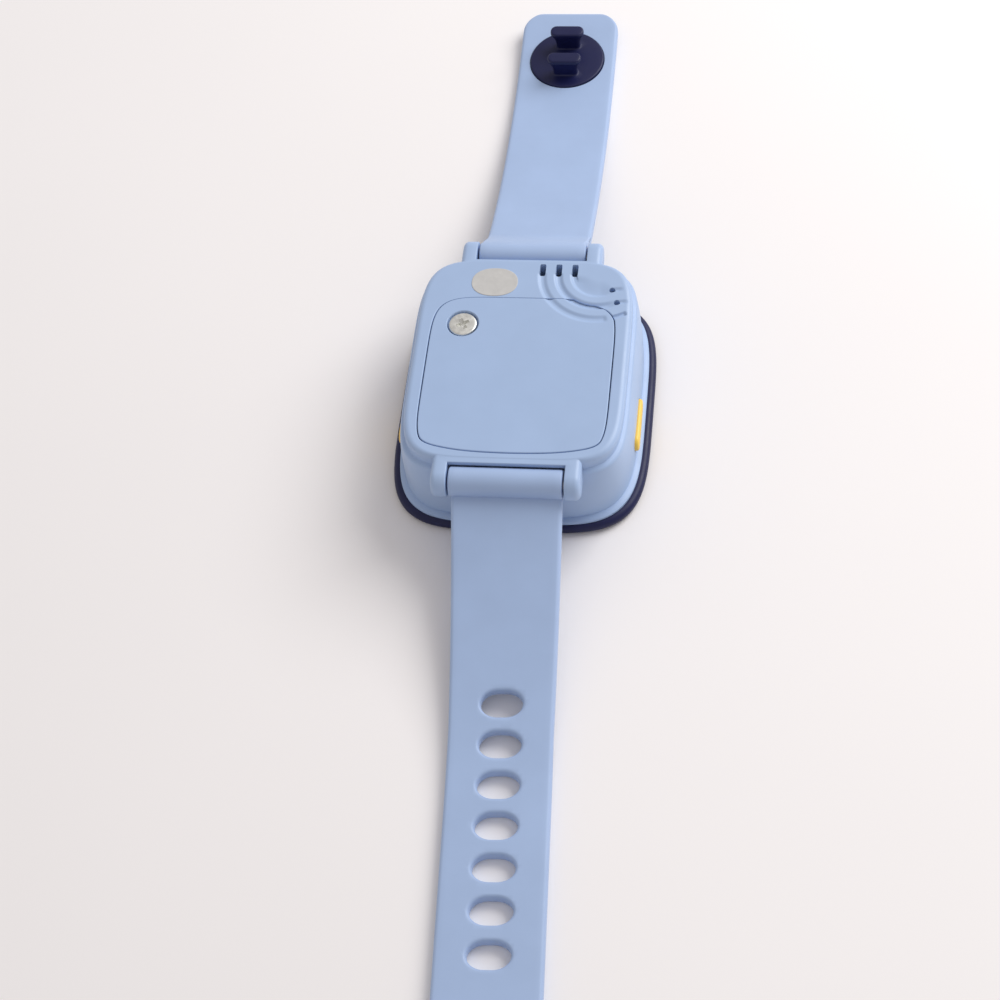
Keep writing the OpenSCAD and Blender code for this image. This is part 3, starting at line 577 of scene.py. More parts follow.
# Each finish: how it is made, its colour (linear light, or the name of a setting) and the rest.
RECIPES = {
    "blue_case": (plastic, "case_blue", dict(gloss=(0.36, 0.46), drift=0.025, grain=2400, strength=0.1)),
    "strap_plastic": (plastic, "strap_blue", dict(gloss=(0.5, 0.62), drift=0.03, grain=1900, strength=0.16,
                                                  Sheen_Weight=0.15, Sheen_Roughness=0.45)),
    "navy_plastic": (plastic, "navy", dict(gloss=(0.38, 0.5), drift=0.1, grain=2200, Specular_IOR_Level=0.35)),
    "button_plastic": (plastic, "yellow", dict(gloss=(0.34, 0.44), drift=0.03)),
    "chip_plastic": (plastic, (0.022, 0.022, 0.025), dict(gloss=(0.3, 0.5), drift=0.2, grain=1500, strength=0.2)),
    "speaker_mesh": (plastic, (0.03, 0.03, 0.034), dict(gloss=(0.45, 0.65), drift=0.3, grain=3200, strength=0.5)),
    "lead_sleeve": (plastic, (0.42, 0.02, 0.015), dict(gloss=(0.4, 0.55), drift=0.1)),
    "ribbon_film": (plastic, (0.5, 0.2, 0.035), dict(gloss=(0.25, 0.35), drift=0.15, grain=900, strength=0.1)),
    "plated_steel": (metal, "steel", dict(gloss=(0.26, 0.4), stretch=(1, 0.25, 1))),
    "screw_steel": (metal, "steel", dict(gloss=(0.36, 0.48), lighter=1.4)),
    "cell_steel": (metal, "steel", dict(gloss=(0.2, 0.34), stretch=(0.12, 1, 1), scale=1200)),
    "sticker_film": (film, "sticker", {}),
    "clear_lens": (clear, (0.97, 0.98, 0.98), {}),
    "display_cells": (screen, (0.014, 0.017, 0.024), {}),
    "board_lacquer": (board, (0.008, 0.09, 0.035), {}),
}
INNER_PARTS = {
    "display_cells": ("display_module",), "board_lacquer": ("circuit_board",),
    "chip_plastic": ("chip", "button_switches"), "speaker_mesh": ("speaker",),
    "lead_sleeve": ("speaker_leads",), "ribbon_film": ("display_ribbon",), "cell_steel": ("coin_cell",),
    "plated_steel": ("contact_positive", "contact_negative", "screw_clip", "case_screws", "strap_pin_long",
                     "strap_pin_short"),
}


def finish_of(name):
    """Finish of that name, made from its recipe the first time."""
    if name not in bpy.data.materials:
        make, colour, rest = RECIPES[name]
        if isinstance(colour, str):
            colour = getattr(bpy.context.scene.watch_finishes, colour)
        make(name, colour, **rest)
    return bpy.data.materials[name]


def door_reach(door, grille, angles, margin):
    """Distance from the door's middle to its outline grown by a margin: the nearest of the soft rectangle
    blended with the far side of the bow's circle, the near side of the circle cut round the waves, and, in
    its own quadrant, the far side of the corner's circle."""
    middle, centre, blend = door.middle, door.corner[:2], door.bow_blend
    towards = np.stack((np.cos(angles), np.sin(angles)), -1)

    def crossing(at, radius, side):
        along = towards @ (at - middle)
        inside = radius ** 2 - np.sum((at - middle) ** 2) + along ** 2
        return np.where((inside > 0) & (along > -radius), along + side * np.sqrt(np.maximum(inside, 0)), np.inf)

    edge = reach(door.half + margin, door.roundness, angles)
    bow = np.minimum(crossing(middle + (0, door.bow - door.half[1]), door.bow + margin, 1), BEYOND)
    wave = crossing(grille.middle, door.wave_cut - margin, -1)
    wave = np.where(wave > 0, wave, np.inf)
    corner = crossing(centre, door.corner[2] + margin, 1)
    spot = middle + np.where(np.isfinite(corner), corner, 0)[:, None] * towards
    corner = np.where(np.all(spot > centre, 1), corner, np.inf)
    way = np.clip(0.5 + (bow - edge) / (2 * blend), 0, 1)
    soft = bow * (1 - way) + edge * way - blend * way * (1 - way)
    return np.min((soft, wave, corner), 0)


def seam_share(angles):
    """Share of the door's seam left along each angle: narrow along the far edge beside the screw."""
    turn = np.degrees(angles)
    return 1 - 0.6 * smooth(40, 50, turn) * (1 - smooth(128, 140, turn))


def wave_ends(grille):
    """Places of the two small sound holes, where the inner waves end."""
    turn, far = np.radians((-53, -60)), grille.radius + grille.pitch * np.arange(2)
    return grille.middle + np.stack((far * np.cos(turn), far * np.sin(turn)), -1)


def wave_depth(grille, x, y, rings, frame_side=True):
    """Depth of the wave grooves at a place: each ring's soft band about its radius, faded out past the slots
    and towards the ring's end at the side. The inner groove is dished, so only its outer wall is a step. The
    outer groove ends round on the door and goes on as a short notch in the frame beside it. A short crease
    runs on from each small sound hole."""
    dx, dy = x - grille.middle[0], y - grille.middle[1]
    away, turn = np.hypot(dx, dy), np.degrees(np.arctan2(dy, dx))
    half, soft = grille.groove_width / 2, grille.groove_soft
    depth = np.zeros_like(x)
    for index in rings:
        off = away - grille.radius - index * grille.pitch
        wall = 1 - smooth(half - soft, half + soft / 3, np.where((off < 0) & (index == 0), 0, np.abs(off)))
        start, end = ((-86, -46), (-76, -55), (-82, -77))[index]
        if index == 0:
            wall = wall * smooth(-3.2, 0.3, off)
            wall = wall * np.where(off < -0.5, 1 - smooth(-1.8, -0.1, dy), 1)
        if index == 2:
            wall = wall * 0.75
        fade = (1 - smooth(start, end, turn)) * (1 - smooth(0, grille.slot_rise, dy))
        depth = np.maximum(depth, wall * fade * (turn < 60))
    if frame_side:
        off = np.abs(away - grille.radius - 2 * grille.pitch)
        notch = (1 - smooth(0.25, 0.55, off)) * smooth(-76, -73, turn) * (1 - smooth(-60, -57, turn))
        depth = np.maximum(depth, notch)
        for end_x, end_y in wave_ends(grille):
            along, across = x - end_x, y - end_y
            crease = 1 - smooth(0.1, 0.6, np.abs(across - 0.15 * along))
            crease = crease * smooth(-0.2, 0.3, along) * (1 - smooth(1.0, 2.2, along))
            depth = np.maximum(depth, 0.7 * crease)
    return depth * grille.groove_depth


def panel_height(case, far, flat, wall):
    """Height of the back panel at a distance: level up to the flat's edge, then a quarter ellipse down to
    the wall."""
    way = np.clip((far - flat) / (wall - flat), 0, 1)
    return case.fillet_height + (case.height - case.fillet_height) * np.sqrt(1 - way * way)


def grooved(rows, angles, middle, grille, rings, wavy, frame_side):
    """Rows of reach and height set round a middle, those in the wavy stretch lowered by the grooves."""
    far, height = (np.array(part) for part in zip(*rows))
    spots = polar(far, angles, height, middle)
    field = spots[wavy]
    field[..., 2] -= wave_depth(grille, field[..., 0], field[..., 1], rings, frame_side)
    return spots


def eased(stations, times):
    """Rows of a profile with its corners cut at a quarter and three quarters of each stretch."""
    for _ in range(times):
        near = stations[:-1] * 0.75 + stations[1:] * 0.25
        after = stations[:-1] * 0.25 + stations[1:] * 0.75
        cut = np.stack((near, after), 1).reshape(-1, stations.shape[1])
        stations = np.concatenate((stations[:1], cut, stations[-1:]))
    return stations


def case_rows(case, door, grille):
    """Closed section of the case carried once round the door's middle: wall of the door's opening, soft
    edge, level panel with its grooves, rounded edge, wall, crease, shoulder, flank, lip and hollow."""
    angles = spread(720, (math.radians(62), 0.42, 2.4), (math.radians(118), 0.2, 0.6))
    middle, edge = door.middle, SEAM_EDGE * seam_share(angles)
    square, round_ = case.panel_roundness, case.roundness
    start = door_reach(door, grille, angles, 0) + door.gap * seam_share(angles)
    flat, wall = (reach(half, square, angles, middle) for half in (case.panel_flat, case.panel))
    brink = start + edge
    field = np.maximum(flat, brink + 0.12)
    rows = [(start, np.full_like(start, z)) for z in (15.6, 16.2, 16.9)]
    rows += fillet(start, panel_height(case, brink, flat, wall), edge, 4, -1)
    for way in np.linspace(0, 1, 50)[1:]:
        far = brink + way * (field - brink)
        rows.append((far, panel_height(case, far, flat, wall)))
    turn = np.arccos(np.clip((field - flat) / (wall - flat), 0, 1))
    for left in np.linspace(1, 0, 13)[1:]:
        rows.append((flat + np.cos(turn * left) * (wall - flat),
                     case.fillet_height + (case.height - case.fillet_height) * np.sin(turn * left)))
    top = grooved(rows, angles, middle, grille, (0, 1, 2), slice(4, None), True)
    panel, shoulder, foot, lip = case.panel, case.shoulder, case.foot, case.lip
    lean = np.array((1, 0.72, 0.3, 0.06, 0))[:, None]
    rise = np.array((1, 0.9, 0.7, 0.35, 0))
    flank = np.column_stack((foot + (shoulder - foot) * lean, round_ + (square - round_) * lean,
                             case.foot_height + (case.shoulder_height - case.foot_height) * rise))
    ridge = shoulder + (panel - shoulder) * 0.4
    ridge_height = case.shoulder_height + (case.crease_height - case.shoulder_height) * 0.75
    ledge = [(panel, case.fillet_height), (panel, case.crease_height + 0.2), (panel, case.crease_height),
             (ridge, ridge_height), (ridge * 0.3 + shoulder * 0.7, case.shoulder_height + 0.3)]
    ledge = [(*half, square, z) for half, z in ledge]
    low, high, roof = case.cavity_heights
    wide, narrow = case.cavity[:2], case.cavity[2:]
    base = [(foot + (lip - foot) * 0.25, case.foot_height - 0.06), (lip - 0.12, case.lip_top + 0.03),
            (lip, case.lip_top - 0.1), (lip, case.bezel_height), (wide, case.bezel_height), (wide, low),
            (narrow, high), (narrow, roof)]
    base = [(*half, round_, z) for half, z in base]
    rest = np.concatenate((eased(np.vstack((*ledge, flank)), 3)[1:], base))
    return np.concatenate((top, [polar(reach(s[:2], s[2], angles, middle), angles, s[3], middle) for s in rest]))


def lug_rows(case, side, end):
    """Lug carried across its thickness: a round end about the pin with level sides back to its root, drawn
    in along both edges by a quarter round."""
    soft_in, soft_out = case.lug_soft
    inner, outer = case.lug_inside, case.lug_inside + case.lug_thickness
    turn, back = np.radians(np.linspace(-90, 90, 25)), np.linspace(0, 1, 7)[1:]
    made = []
    for x, drop in fillet(inner, 0, soft_in, 4, -1) + fillet(outer, 0, soft_out, 7)[::-1]:
        radius, top = case.lug_radius + drop, case.height - case.lug_dip + drop
        z = case.pin_height + radius * np.sin(turn)
        y = np.concatenate((radius * np.cos(turn), -case.lug_root * back, -case.lug_root * back[::-1]))
        z = np.concatenate((z, z[-1] + (top - z[-1]) * back, z[0] + 0 * back))
        made.append(upright(side * x, np.column_stack((end * (case.pin_out + y), z))))
    return made


def strip_edge(case, end):
    """Outer edge of the strip at one end of the case."""
    return case.strip[1] if end < 0 else case.strip[2]


def strip_bar(case, end):
    """Flat strip between the lugs: a bar along X whose top edge over the knuckle is rounded."""
    inner, outer, top = case.strip[0], strip_edge(case, end), case.height - case.lug_dip
    profile = np.array([(inner, case.shoulder_height), (outer, case.shoulder_height),
                        *fillet(outer, top, case.lug_soft[0], 5), (inner, top)])
    half = case.lug_inside + case.lug_thickness / 2
    return along_x(profile * (end, 1), -half, half)


def knuckle_room(case, end):
    """Room for a strap's knuckle between the lugs: round the pin, and open above the strip's edge."""
    brink, above, margin = max(-0.99, (strip_edge(case, end) - case.pin_out) / case.recess), 8, 0.01
    turn = np.linspace(math.acos(brink), ROUND, 45)
    y = case.recess * np.concatenate((np.cos(turn), [1, brink]))
    z = np.concatenate((case.recess * np.sin(turn), [above, above]))
    outline = np.column_stack((end * (case.pin_out + y), case.pin_height + z))
    return along_x(outline, margin - case.lug_inside, case.lug_inside - margin)


def tab_room(door):
    """Room for the door's two tabs under the panel's near edge."""
    place, near, wide, tip = door.tab
    room, low, high = 0.3, 14.9, 16.1
    return [box((side * place - wide / 2 - room, near - tip - room, low),
                (side * place + wide / 2 + room, near + 2.2, high)) for side in BOTH]


class CaseShell(bpy.types.Operator):
    """Moulded case with panel, wave grooves, sound slots, lugs and button windows"""

    bl_idname = "toy_watch.case_shell"
    bl_label = "Case shell"

    def execute(self, context):
        case, door, grille, front = settings(context, "case", "door", "grille", "front")
        lugs = [surface(lug_rows(case, side, end)) for side in BOTH for end in BOTH]
        strips = [strip_bar(case, end) for end in BOTH]
        fine = turns(40)
        cuts = tab_room(door)
        for index in range(3):
            at = grille.middle + (-grille.radius - index * grille.pitch, grille.slot_rise)
            cuts.append(surface([ring(grille.slot / 2, 0.28, fine, z, at) for z in grille.through]))
        for at in wave_ends(grille):
            cuts.append(surface(lathe([(grille.slot[0] / 2, z) for z in grille.through], fine, at)))
        cuts += [knuckle_room(case, end) for end in BOTH]
        window = pill(*(front.button + 0.3), 64) + front.button_place
        cuts += [along_x(window, *sorted((side * 17.5, side * 24))) for side in BOTH]
        piece("case_shell", surface(case_rows(case, door, grille), loop=True), "case", "case_plastic",
              "blue_case", "rear_case", add=(together(lugs), together(strips)), cut=(together(cuts),))
        return {"FINISHED"}


class BatteryBay(bpy.types.Operator):
    """Floor of the battery bay under the door: seat, pocket of the cell, wells, boss and tab slots"""

    bl_idname = "toy_watch.battery_bay"
    bl_label = "Battery bay"

    def execute(self, context):
        case, door, grille = settings(context, "case", "door", "grille")
        angles, small, radius = turns(360), turns(48), door.cell_radius
        far = np.minimum(door_reach(door, grille, angles, 1.0),
                         reach(case.panel - 0.8, case.panel_roundness, angles, door.middle))
        low = np.minimum(far, reach(door.bay_low, case.roundness, angles, door.middle))
        rows = ((low, 8.0), (low, 9.6), (far, 9.9), (far, 16.1))
        block = surface([polar(out, angles, z, door.middle) for out, z in rows])
        pocket = (radius, 10.2), (radius, 15.8), (radius + 0.4, 16.3)
        boss = (1.7, 12.6), (1.7, 15.0), (2.55, 15.0), (2.55, 16.6)
        well = (2.075, 9.0), (2.075, 15.9), (2.3, 16.3)
        cuts = [lathe(pocket, turns(128), door.cell_middle), lathe(boss, small, door.screw)]
        low, high = solid_box("case_screws")
        inset = 1.9
        cuts += [lathe(well, small, (x, (low[1] + high[1]) / 2)) for x in (low[0] + inset, high[0] - inset)]
        cuts = [surface(cut) for cut in cuts] + tab_room(door)
        piece("battery_bay", block, "case", "case_plastic", "blue_case", cut=(together(cuts),))
        return {"FINISHED"}


def door_rows(case, door, grille):
    """Door from the middle of its top out to the soft edge, down its wall and back under it: shares of the
    reach along each angle, with the panel's height less the outer waves' grooves."""
    angles = spread(560, (math.radians(52), 0.3, 3.0))
    edge = SEAM_EDGE * seam_share(angles)
    rim = door_reach(door, grille, angles, 0)
    brink = rim - edge
    flat, wall = (reach(half, case.panel_roundness, angles, door.middle)
                  for half in (case.panel_flat, case.panel))
    inner = np.concatenate((np.linspace(0.04, 0.5, 12), np.linspace(0.5, 1, 84)[1:]))
    rows = [(way * brink, panel_height(case, way * brink, flat, wall)) for way in inner]
    rows += fillet(rim, panel_height(case, brink, flat, wall), edge, 5)[::-1][1:]
    wavy = slice(0, len(rows))
    rows += [(rim * way, np.full_like(rim, z)) for way, z in (
        (1, 17.0), (1, door.under), (0.9, door.under), (0.5, door.under), (0.04, door.under))]
    return grooved(rows, angles, door.middle, grille, (1, 2), wavy, False)


class BatteryDoor(bpy.types.Operator):
    """Battery door with soft edges, wave groove, sunk screw seat and tabs, and its cross-headed screw"""

    bl_idname = "toy_watch.battery_door"
    bl_label = "Battery door"

    def execute(self, context):
        case, door, grille = settings(context, "case", "door", "grille")
        place, near, wide, tip = door.tab
        back, step = near + 1.0, near + 0.05
        hook = np.array(((back, 16.4), (step, 16.4), (step, 16.03), (near - tip, 16.03), (near - tip, 15.4),
                         (near - tip + 0.2, 15.2), (back, 15.2)))
        tabs = [along_x(hook, side * place - wide / 2, side * place + wide / 2) for side in BOTH]
        fine, seat, head = turns(96), door.sink_radius, door.head_radius
        sink = ((1.3, 15), (1.3, 16.7), (seat, 16.7), (seat, 17.42), (seat + 0.05, 17.52), (seat + 0.16, 17.6),
                (seat + 0.5, 17.75))
        piece("door", surface(door_rows(case, door, grille)), "door", "case_plastic", "blue_case",
              "battery_door", add=(together(tabs),), cut=(surface(lathe(sink, fine, door.screw)),))
        rows = [(1.0, 12.9), (1.25, 13.2), (1.25, 16.75), (head - 0.1, 16.75), (head, 16.85)]
        rows += fillet(head, 17.5, 0.3, 6)
        rows += [(head * way, 17.55 - 0.05 * way * way) for way in (0.8, 0.6, 0.4, 0.2)]
        arm, bar, tilt = 1.25, 0.38, math.radians(28)
        limb = np.array((arm - bar * 1j, arm + bar * 1j, bar + bar * 1j)) * np.exp(1j * tilt)
        cross = np.concatenate([limb * 1j ** quarters for quarters in range(4)])
        cross = np.column_stack((cross.real, cross.imag))
        cross = surface([level(cross * grow + door.screw, z)
                         for grow, z in ((0.45, 16.95), (1.0, 17.5), (1.1, 17.8))])
        piece("screw", surface(lathe(rows, fine, door.screw)), "screw", "steel", "screw_steel", "door_screw",
              cut=(cross,))
        return {"FINISHED"}


class Sticker(bpy.types.Operator):
    """Bare oval sticker on the back panel, with a soft rim"""

    bl_idname = "toy_watch.sticker"
    bl_label = "Sticker"

    def execute(self, context):
        low, high = solid_box("quality_sticker")
        half, middle = (high - low)[:2] / 2, (high + low)[:2] / 2
        foot, top = low[2], high[2]
        soft, sag, roundness, angles = 0.08, 0.02, 0.9, turns(96)
        rows = [(half, foot)]
        rows += [(half - soft * (1 - c), foot + (top - foot) * (0.2 + 0.75 * s)) for c, s in quarter(4)]
        rows += [(half * way, top - sag * way) for way in (0.93, 0.7, 0.4, 0.1)]
        piece("sticker", surface([ring(size, roundness, angles, z, middle) for size, z in rows]), "case",
              "sticker", "sticker_film", "quality_sticker")
        return {"FINISHED"}


class Front(bpy.types.Operator):
    """Bezel ring with its window, and the clear lens set in it"""

    bl_idname = "toy_watch.front"
    bl_label = "Front"

    def execute(self, context):
        case, front = settings(context, "case", "front")
        angles, shift, middle = turns(360), (0.0, front.window_shift), (0.0, 0.0)
        seat, thick, soft = front.lens + 0.1, case.bezel_height - 0.02, 1.0
        rows = [ring(half, front.roundness, angles, z, at) for half, z, at in (
            (front.window, thick, shift), (front.window, front.ledge + 0.12, shift),
            (front.window + 0.12, front.ledge, shift), (seat, front.ledge, middle), (seat, 0.15, middle),
            (seat + 0.15, 0.0, middle))]
        outer = [(seat * (1 - way) + (case.rim - soft) * way, 0.0) for way in (0.35, 0.7)]
        outer += [(case.rim - soft * (1 - math.cos(turn)), thick * (1 + math.sin(turn)) / 2)
                  for turn in np.radians(np.linspace(-90, 90, 15))]
        rows += [ring(half, case.roundness, angles, z) for half, z in (*outer, (front.inside, thick))]
        piece("bezel_ring", surface(rows, loop=True), "case", "bezel_plastic", "navy_plastic", "bezel")
        glass, thick, soft, ways = front.lens, front.lens_thickness, 0.2, (0.1, 0.4, 0.7, 0.95)
        rows = [(glass * way, 0.0) for way in ways]
        rows += [(glass - soft * (1 - s), soft * (1 - c)) for c, s in quarter(5)]
        rows += [(glass * way, thick) for way in (1, *ways[::-1])]
        piece("lens_pane", surface([ring(half, front.roundness, angles, z) for half, z in rows]), "case",
              "lens", "clear_lens", "lens")
        return {"FINISHED"}


class SideButtons(bpy.types.Operator):
    """Pair of yellow side buttons with soft faces and inner flanges"""

    bl_idname = "toy_watch.side_buttons"
    bl_label = "Side buttons"

    def execute(self, context):
        front, = settings(context, "front")
        flange_in, flange_out, face = front.button_reach
        flange, soft = 0.8, 0.5
        rows = [(flange_in, -flange), (flange_out, -flange), (flange_out, 0.0), (face - soft, 0.0)]
        rows += [(face - soft + 0.9 * soft * s, soft * (1 - c)) for c, s in quarter(6)[1:]]
        rows += [(face - 0.02, 0.8), (face, 1.2)]
        for side, word in ((-1, "left"), (1, "right")):
            rings = [upright(side * x, pill(*front.button, 80, inset) + front.button_place) for x, inset in rows]
            piece("button_" + word, surface(rings), "button_" + word, "button", "button_plastic",
                  "side_button_" + word)
        return {"FINISHED"}


def strap_run(case, strap, s, lift):
    """Front face of a strap at distances from the pin: how far out, how high and at what slope. It leaves
    the pin straight at the droop, bends on one radius with its lowest point on the table, and goes on
    straight at its last slope."""
    drop = strap.knuckle[0] - 0.1
    start = case.pin_out - drop * math.sin(strap.droop), case.pin_height - drop * math.cos(strap.droop)
    straight = (start[1] - strap.bend * (1 - math.cos(strap.droop))) / math.sin(strap.droop)
    middle = start[0] + straight * math.cos(strap.droop) + strap.bend * math.sin(strap.droop)
    turn = np.clip(-strap.droop + (s - straight) / strap.bend, -strap.droop, lift)
    before = np.minimum(s - straight, 0)
    past = np.maximum(s - straight - strap.bend * (strap.droop + lift), 0)
    out = middle + strap.bend * np.sin(turn) + (before + past) * np.cos(turn)
    high = strap.bend * (1 - np.cos(turn)) + (before + past) * np.sin(turn)
    return out, high, turn, start[0]


def on_strap(case, strap, spots, place, end, lift, lean):
    """Spots given across, along and above a strap's front face, set on the strap at a distance from the
    pin: turned by the slope there, then by the sideways lean, and sent towards the strap's own end."""
    out, high, turn, start = strap_run(case, strap, np.array(place), lift)
    across, along, above = np.moveaxis(np.asarray(spots), -1, 0)
    flat = along * np.cos(turn) - above * np.sin(turn)
    x = across * math.cos(lean) + flat * math.sin(lean) + (out - start) * math.tan(lean)
    y = out + flat * math.cos(lean) - across * math.sin(lean)
    z = high + along * np.sin(turn) + above * np.cos(turn)
    return np.stack((x, end * y, z), -1)


def strap_rows(case, strap, long, end_width, tip, lift, lean, end):
    """Strap carried along its run: a section with rounded edges whose width tapers, and whose tip has round
    corners in plan and a half-round end in thickness."""
    edge, half_thick, step = strap.edge, strap.thickness / 2, 0.9
    ease = np.sin(np.linspace(0, math.pi / 2, 22))
    s = np.concatenate((np.arange(0, long - tip - 0.4, step), long - tip * (1 - ease)))
    left = np.minimum(tip, long - s)
    half = (strap.width + (end_width - strap.width) * np.minimum(1, s / strap.taper)) / 2
    half = half - (tip - np.sqrt(np.maximum(tip * tip - (tip - left) ** 2, 0)))
    near = np.minimum(edge, long - s)
    thin = 1 - (edge - np.sqrt(np.maximum(edge ** 2 - (edge - near) ** 2, 0))) / half_thick
    cos_, sin_ = quarter(6).T
    line = np.linspace(1, -1, 25)[1:-1]
    none, ones = 0 * line, np.ones(6)
    round_x = np.concatenate((cos_, none, -cos_[::-1], -cos_, none, cos_[::-1]))
    round_z = np.concatenate((sin_, none + 1, sin_[::-1], -sin_, none - 1, -sin_[::-1]))
    side = np.concatenate((ones, line, -ones, -ones, -line, ones))
    face = np.where(np.arange(len(side)) < len(side) // 2, 1.0, -1.0)
    across = side * (half[:, None] - edge) + edge * round_x
    above = half_thick + thin[:, None] * (face * (half_thick - edge) + edge * round_z)
    out, high, turn, start = (np.atleast_1d(part)[:, None] for part in strap_run(case, strap, s, lift))
    return np.stack(((out - start) * math.tan(lean) + across, end * (out - above * np.sin(turn)),
                     high + above * np.cos(turn)), -1)


def knuckle_rows(case, strap, end):
    """Knuckle round the pin: a bar along X with softened rims."""
    radius, half = strap.knuckle[0], strap.knuckle[1] / 2
    soft, margin, turn = 0.3, 1.5, turns(72)
    rim = fillet(half, radius, soft, 4)
    rows = [(-x, r) for x, r in rim] + [(x, radius) for x in np.linspace(margin - half, half - margin, 14)]
    return [upright(x, np.column_stack((end * (case.pin_out + r * np.cos(turn)),
                                        case.pin_height + r * np.sin(turn)))) for x, r in rows + rim[::-1]]


def root_rows(case, strap):
    """Blend from the short strap's knuckle down to its plate: a bar along X, softened at both sides, whose
    top is a cubic that leaves the knuckle and meets the plate at their own slopes."""
    (out, far), fall = strap.root, math.tan(strap.droop)
    high = math.sqrt(strap.knuckle[0] ** 2 - out ** 2)
    low = -0.05 - far * fall
    way = np.linspace(0, 1, 24)
    y = out + (far - out) * way
    bend = way * way * (3 - 2 * way)
    slopes = out / high * way * (1 - way) ** 2 + fall * way ** 2 * (way - 1)
    z = high + (low - high) * bend - (far - out) * slopes
    y = np.concatenate((y, (far, 1.0, 0.2)))
    z = np.concatenate((z, (low - 1.0, -1.3, 0.5)))
    side = fillet(strap.width / 2, 0, 0.6, 5)
    return [upright(x, np.column_stack((case.pin_out + y, case.pin_height + z + drop)))
            for x, drop in [(-x, drop) for x, drop in side] + side[::-1]]


def flared(outline, thick, soft):
    """Cutter for a hole with rounded rims: an outline (a function of its outset) stacked from below the strap
    to above it, widening along part of a quarter round at each face and going on straight."""
    arc, past = 72, 0.5
    rows = fillet(0, thick, soft, 6, -1, arc)
    slant = math.radians(arc)
    rows.append((rows[-1][0] + past * math.sin(slant), rows[-1][1] + past * math.cos(slant)))
    rows = [(grow, thick - high) for grow, high in rows[::-1]] + rows
    return [level(outline(grow), high) for grow, high in rows]


class Straps(bpy.types.Operator):
    """Long strap with its row of holes and short strap with the clasp's seat, each with its knuckle"""

    bl_idname = "toy_watch.straps"
    bl_label = "Straps"

    def execute(self, context):
        case, strap, clasp = settings(context, "case", "strap", "clasp")
        turn = turns(40)

        def bore(end):
            ringed = np.column_stack((end * case.pin_out + strap.bore * np.cos(turn),
                                      case.pin_height + strap.bore * np.sin(turn)))
            return along_x(ringed, -12, 12)

        long = strap_rows(case, strap, strap.long_length, strap.long_width, strap.long_tip, 0.0, strap.lean, -1)
        hole = flared(lambda grow: oval(*(strap.hole + 2 * grow), 72), strap.thickness, strap.hole_soft)
        holes = [surface(on_strap(case, strap, hole, strap.hole_first + index * strap.hole_pitch, -1, 0.0,
                                  strap.lean)) for index in range(strap.hole_count)]
        piece("long_strap", surface(long), "strap_long", "strap", "strap_plastic", "strap_long",
              add=(surface(knuckle_rows(case, strap, -1)),), cut=(together([bore(-1), *holes]),))
        short = strap_rows(case, strap, strap.short_length, strap.short_width, strap.short_tip, strap.lift,
                           0.0, 1)
        room, gap, thick = 0.15, 0.05, strap.thickness
        wide, neck = clasp.radius + room, clasp.neck + room
        low, high = clasp.cap[1] + gap, thick + clasp.proud - clasp.thickness - gap
        seat = lathe(((wide, -1), (wide, low), (neck, low), (neck, high), (wide, high), (wide, thick + 1)),
                     turns(128))
        seat = surface(on_strap(case, strap, seat, clasp.place, 1, strap.lift, 0.0))
        piece("short_strap", surface(short), "strap_short", "strap", "strap_plastic", "strap_short",
              add=(surface(knuckle_rows(case, strap, 1)), surface(root_rows(case, strap))),
              cut=(together([bore(1), seat]),))
        return {"FINISHED"}


def peg_rings(clasp, top):
    """Peg above the disc's top as rings of size, corner, inset and height: a foot spread by a quarter round,
    a neck that widens with the square of its height, and a head with rounded edges."""
    stem, head, (tight, loose) = clasp.stem, clasp.head[:2], clasp.corner
    peak = top + clasp.peg_height
    under = peak - clasp.head[2]
    splay, low, high = 0.35, 0.25, 0.4
    rings = [(stem, tight, -splay, top - 0.4), (stem, tight, -splay, top - 0.02)]
    rings += [(stem, tight, -splay * (1 - s), top + splay * (1 - c)) for c, s in quarter(5)[1:]]
    neck = top + splay
    rings += [(stem + (head - stem) * way * way * 0.8, tight + 0.5 * way, 0.0, neck + (under - neck) * way)
              for way in np.linspace(0.1, 1, 8)]
    rings += [(head, loose, low * (1 - s), under + low * (1 - c)) for c, s in quarter(5)[1:]]
    rings += [(head, loose, high * (1 - c), peak - high + high * s) for c, s in quarter(6)]
    return [*rings, (head, loose, 0.9, peak + 0.02)]


class Clasp(bpy.types.Operator):
    """Clasp's disc with two headed pegs, and the cap on the strap's front"""

    bl_idname = "toy_watch.clasp"
    bl_label = "Clasp"

    def execute(self, context):
        case, strap, clasp = settings(context, "case", "strap", "clasp")
        turn, radius, (face, back) = turns(128), clasp.radius, clasp.cap

        def placed(rows):
            return surface(on_strap(case, strap, rows, clasp.place, 1, strap.lift, 0.0))

        top = strap.thickness + clasp.proud
        low = top - clasp.thickness
        rows = [(clasp.neck, back + 0.1), (clasp.neck, low), (radius - 0.1, low), (radius, low + 0.1)]
        rows += fillet(radius, top, 0.35, 7)
        rows += [(radius * way, top) for way in (0.8, 0.5, 0.2)]
        pegs = [placed([level(soft_box(size, corner, 64, inset) + (0, side * strap.hole_pitch / 2), high)
                        for size, corner, inset, high in peg_rings(clasp, top)]) for side in BOTH]
        piece("clasp_stud", placed(lathe(rows, turn)), "strap_short", "clasp", "navy_plastic", "clasp_stud",
              add=pegs)
        soft, post = 0.25, 3.0
        rows = [(radius * way, face) for way in (0.2, 0.6, 0.9)]
        rows += [(radius - soft * (1 - s), face + soft * (1 - c)) for c, s in quarter(5)]
        rows += [(radius, back), (post, back), (post, low - 0.05)]
        piece("clasp_cap", placed(lathe(rows, turn)), "strap_short", "clasp", "navy_plastic", "clasp_cap")
        return {"FINISHED"}


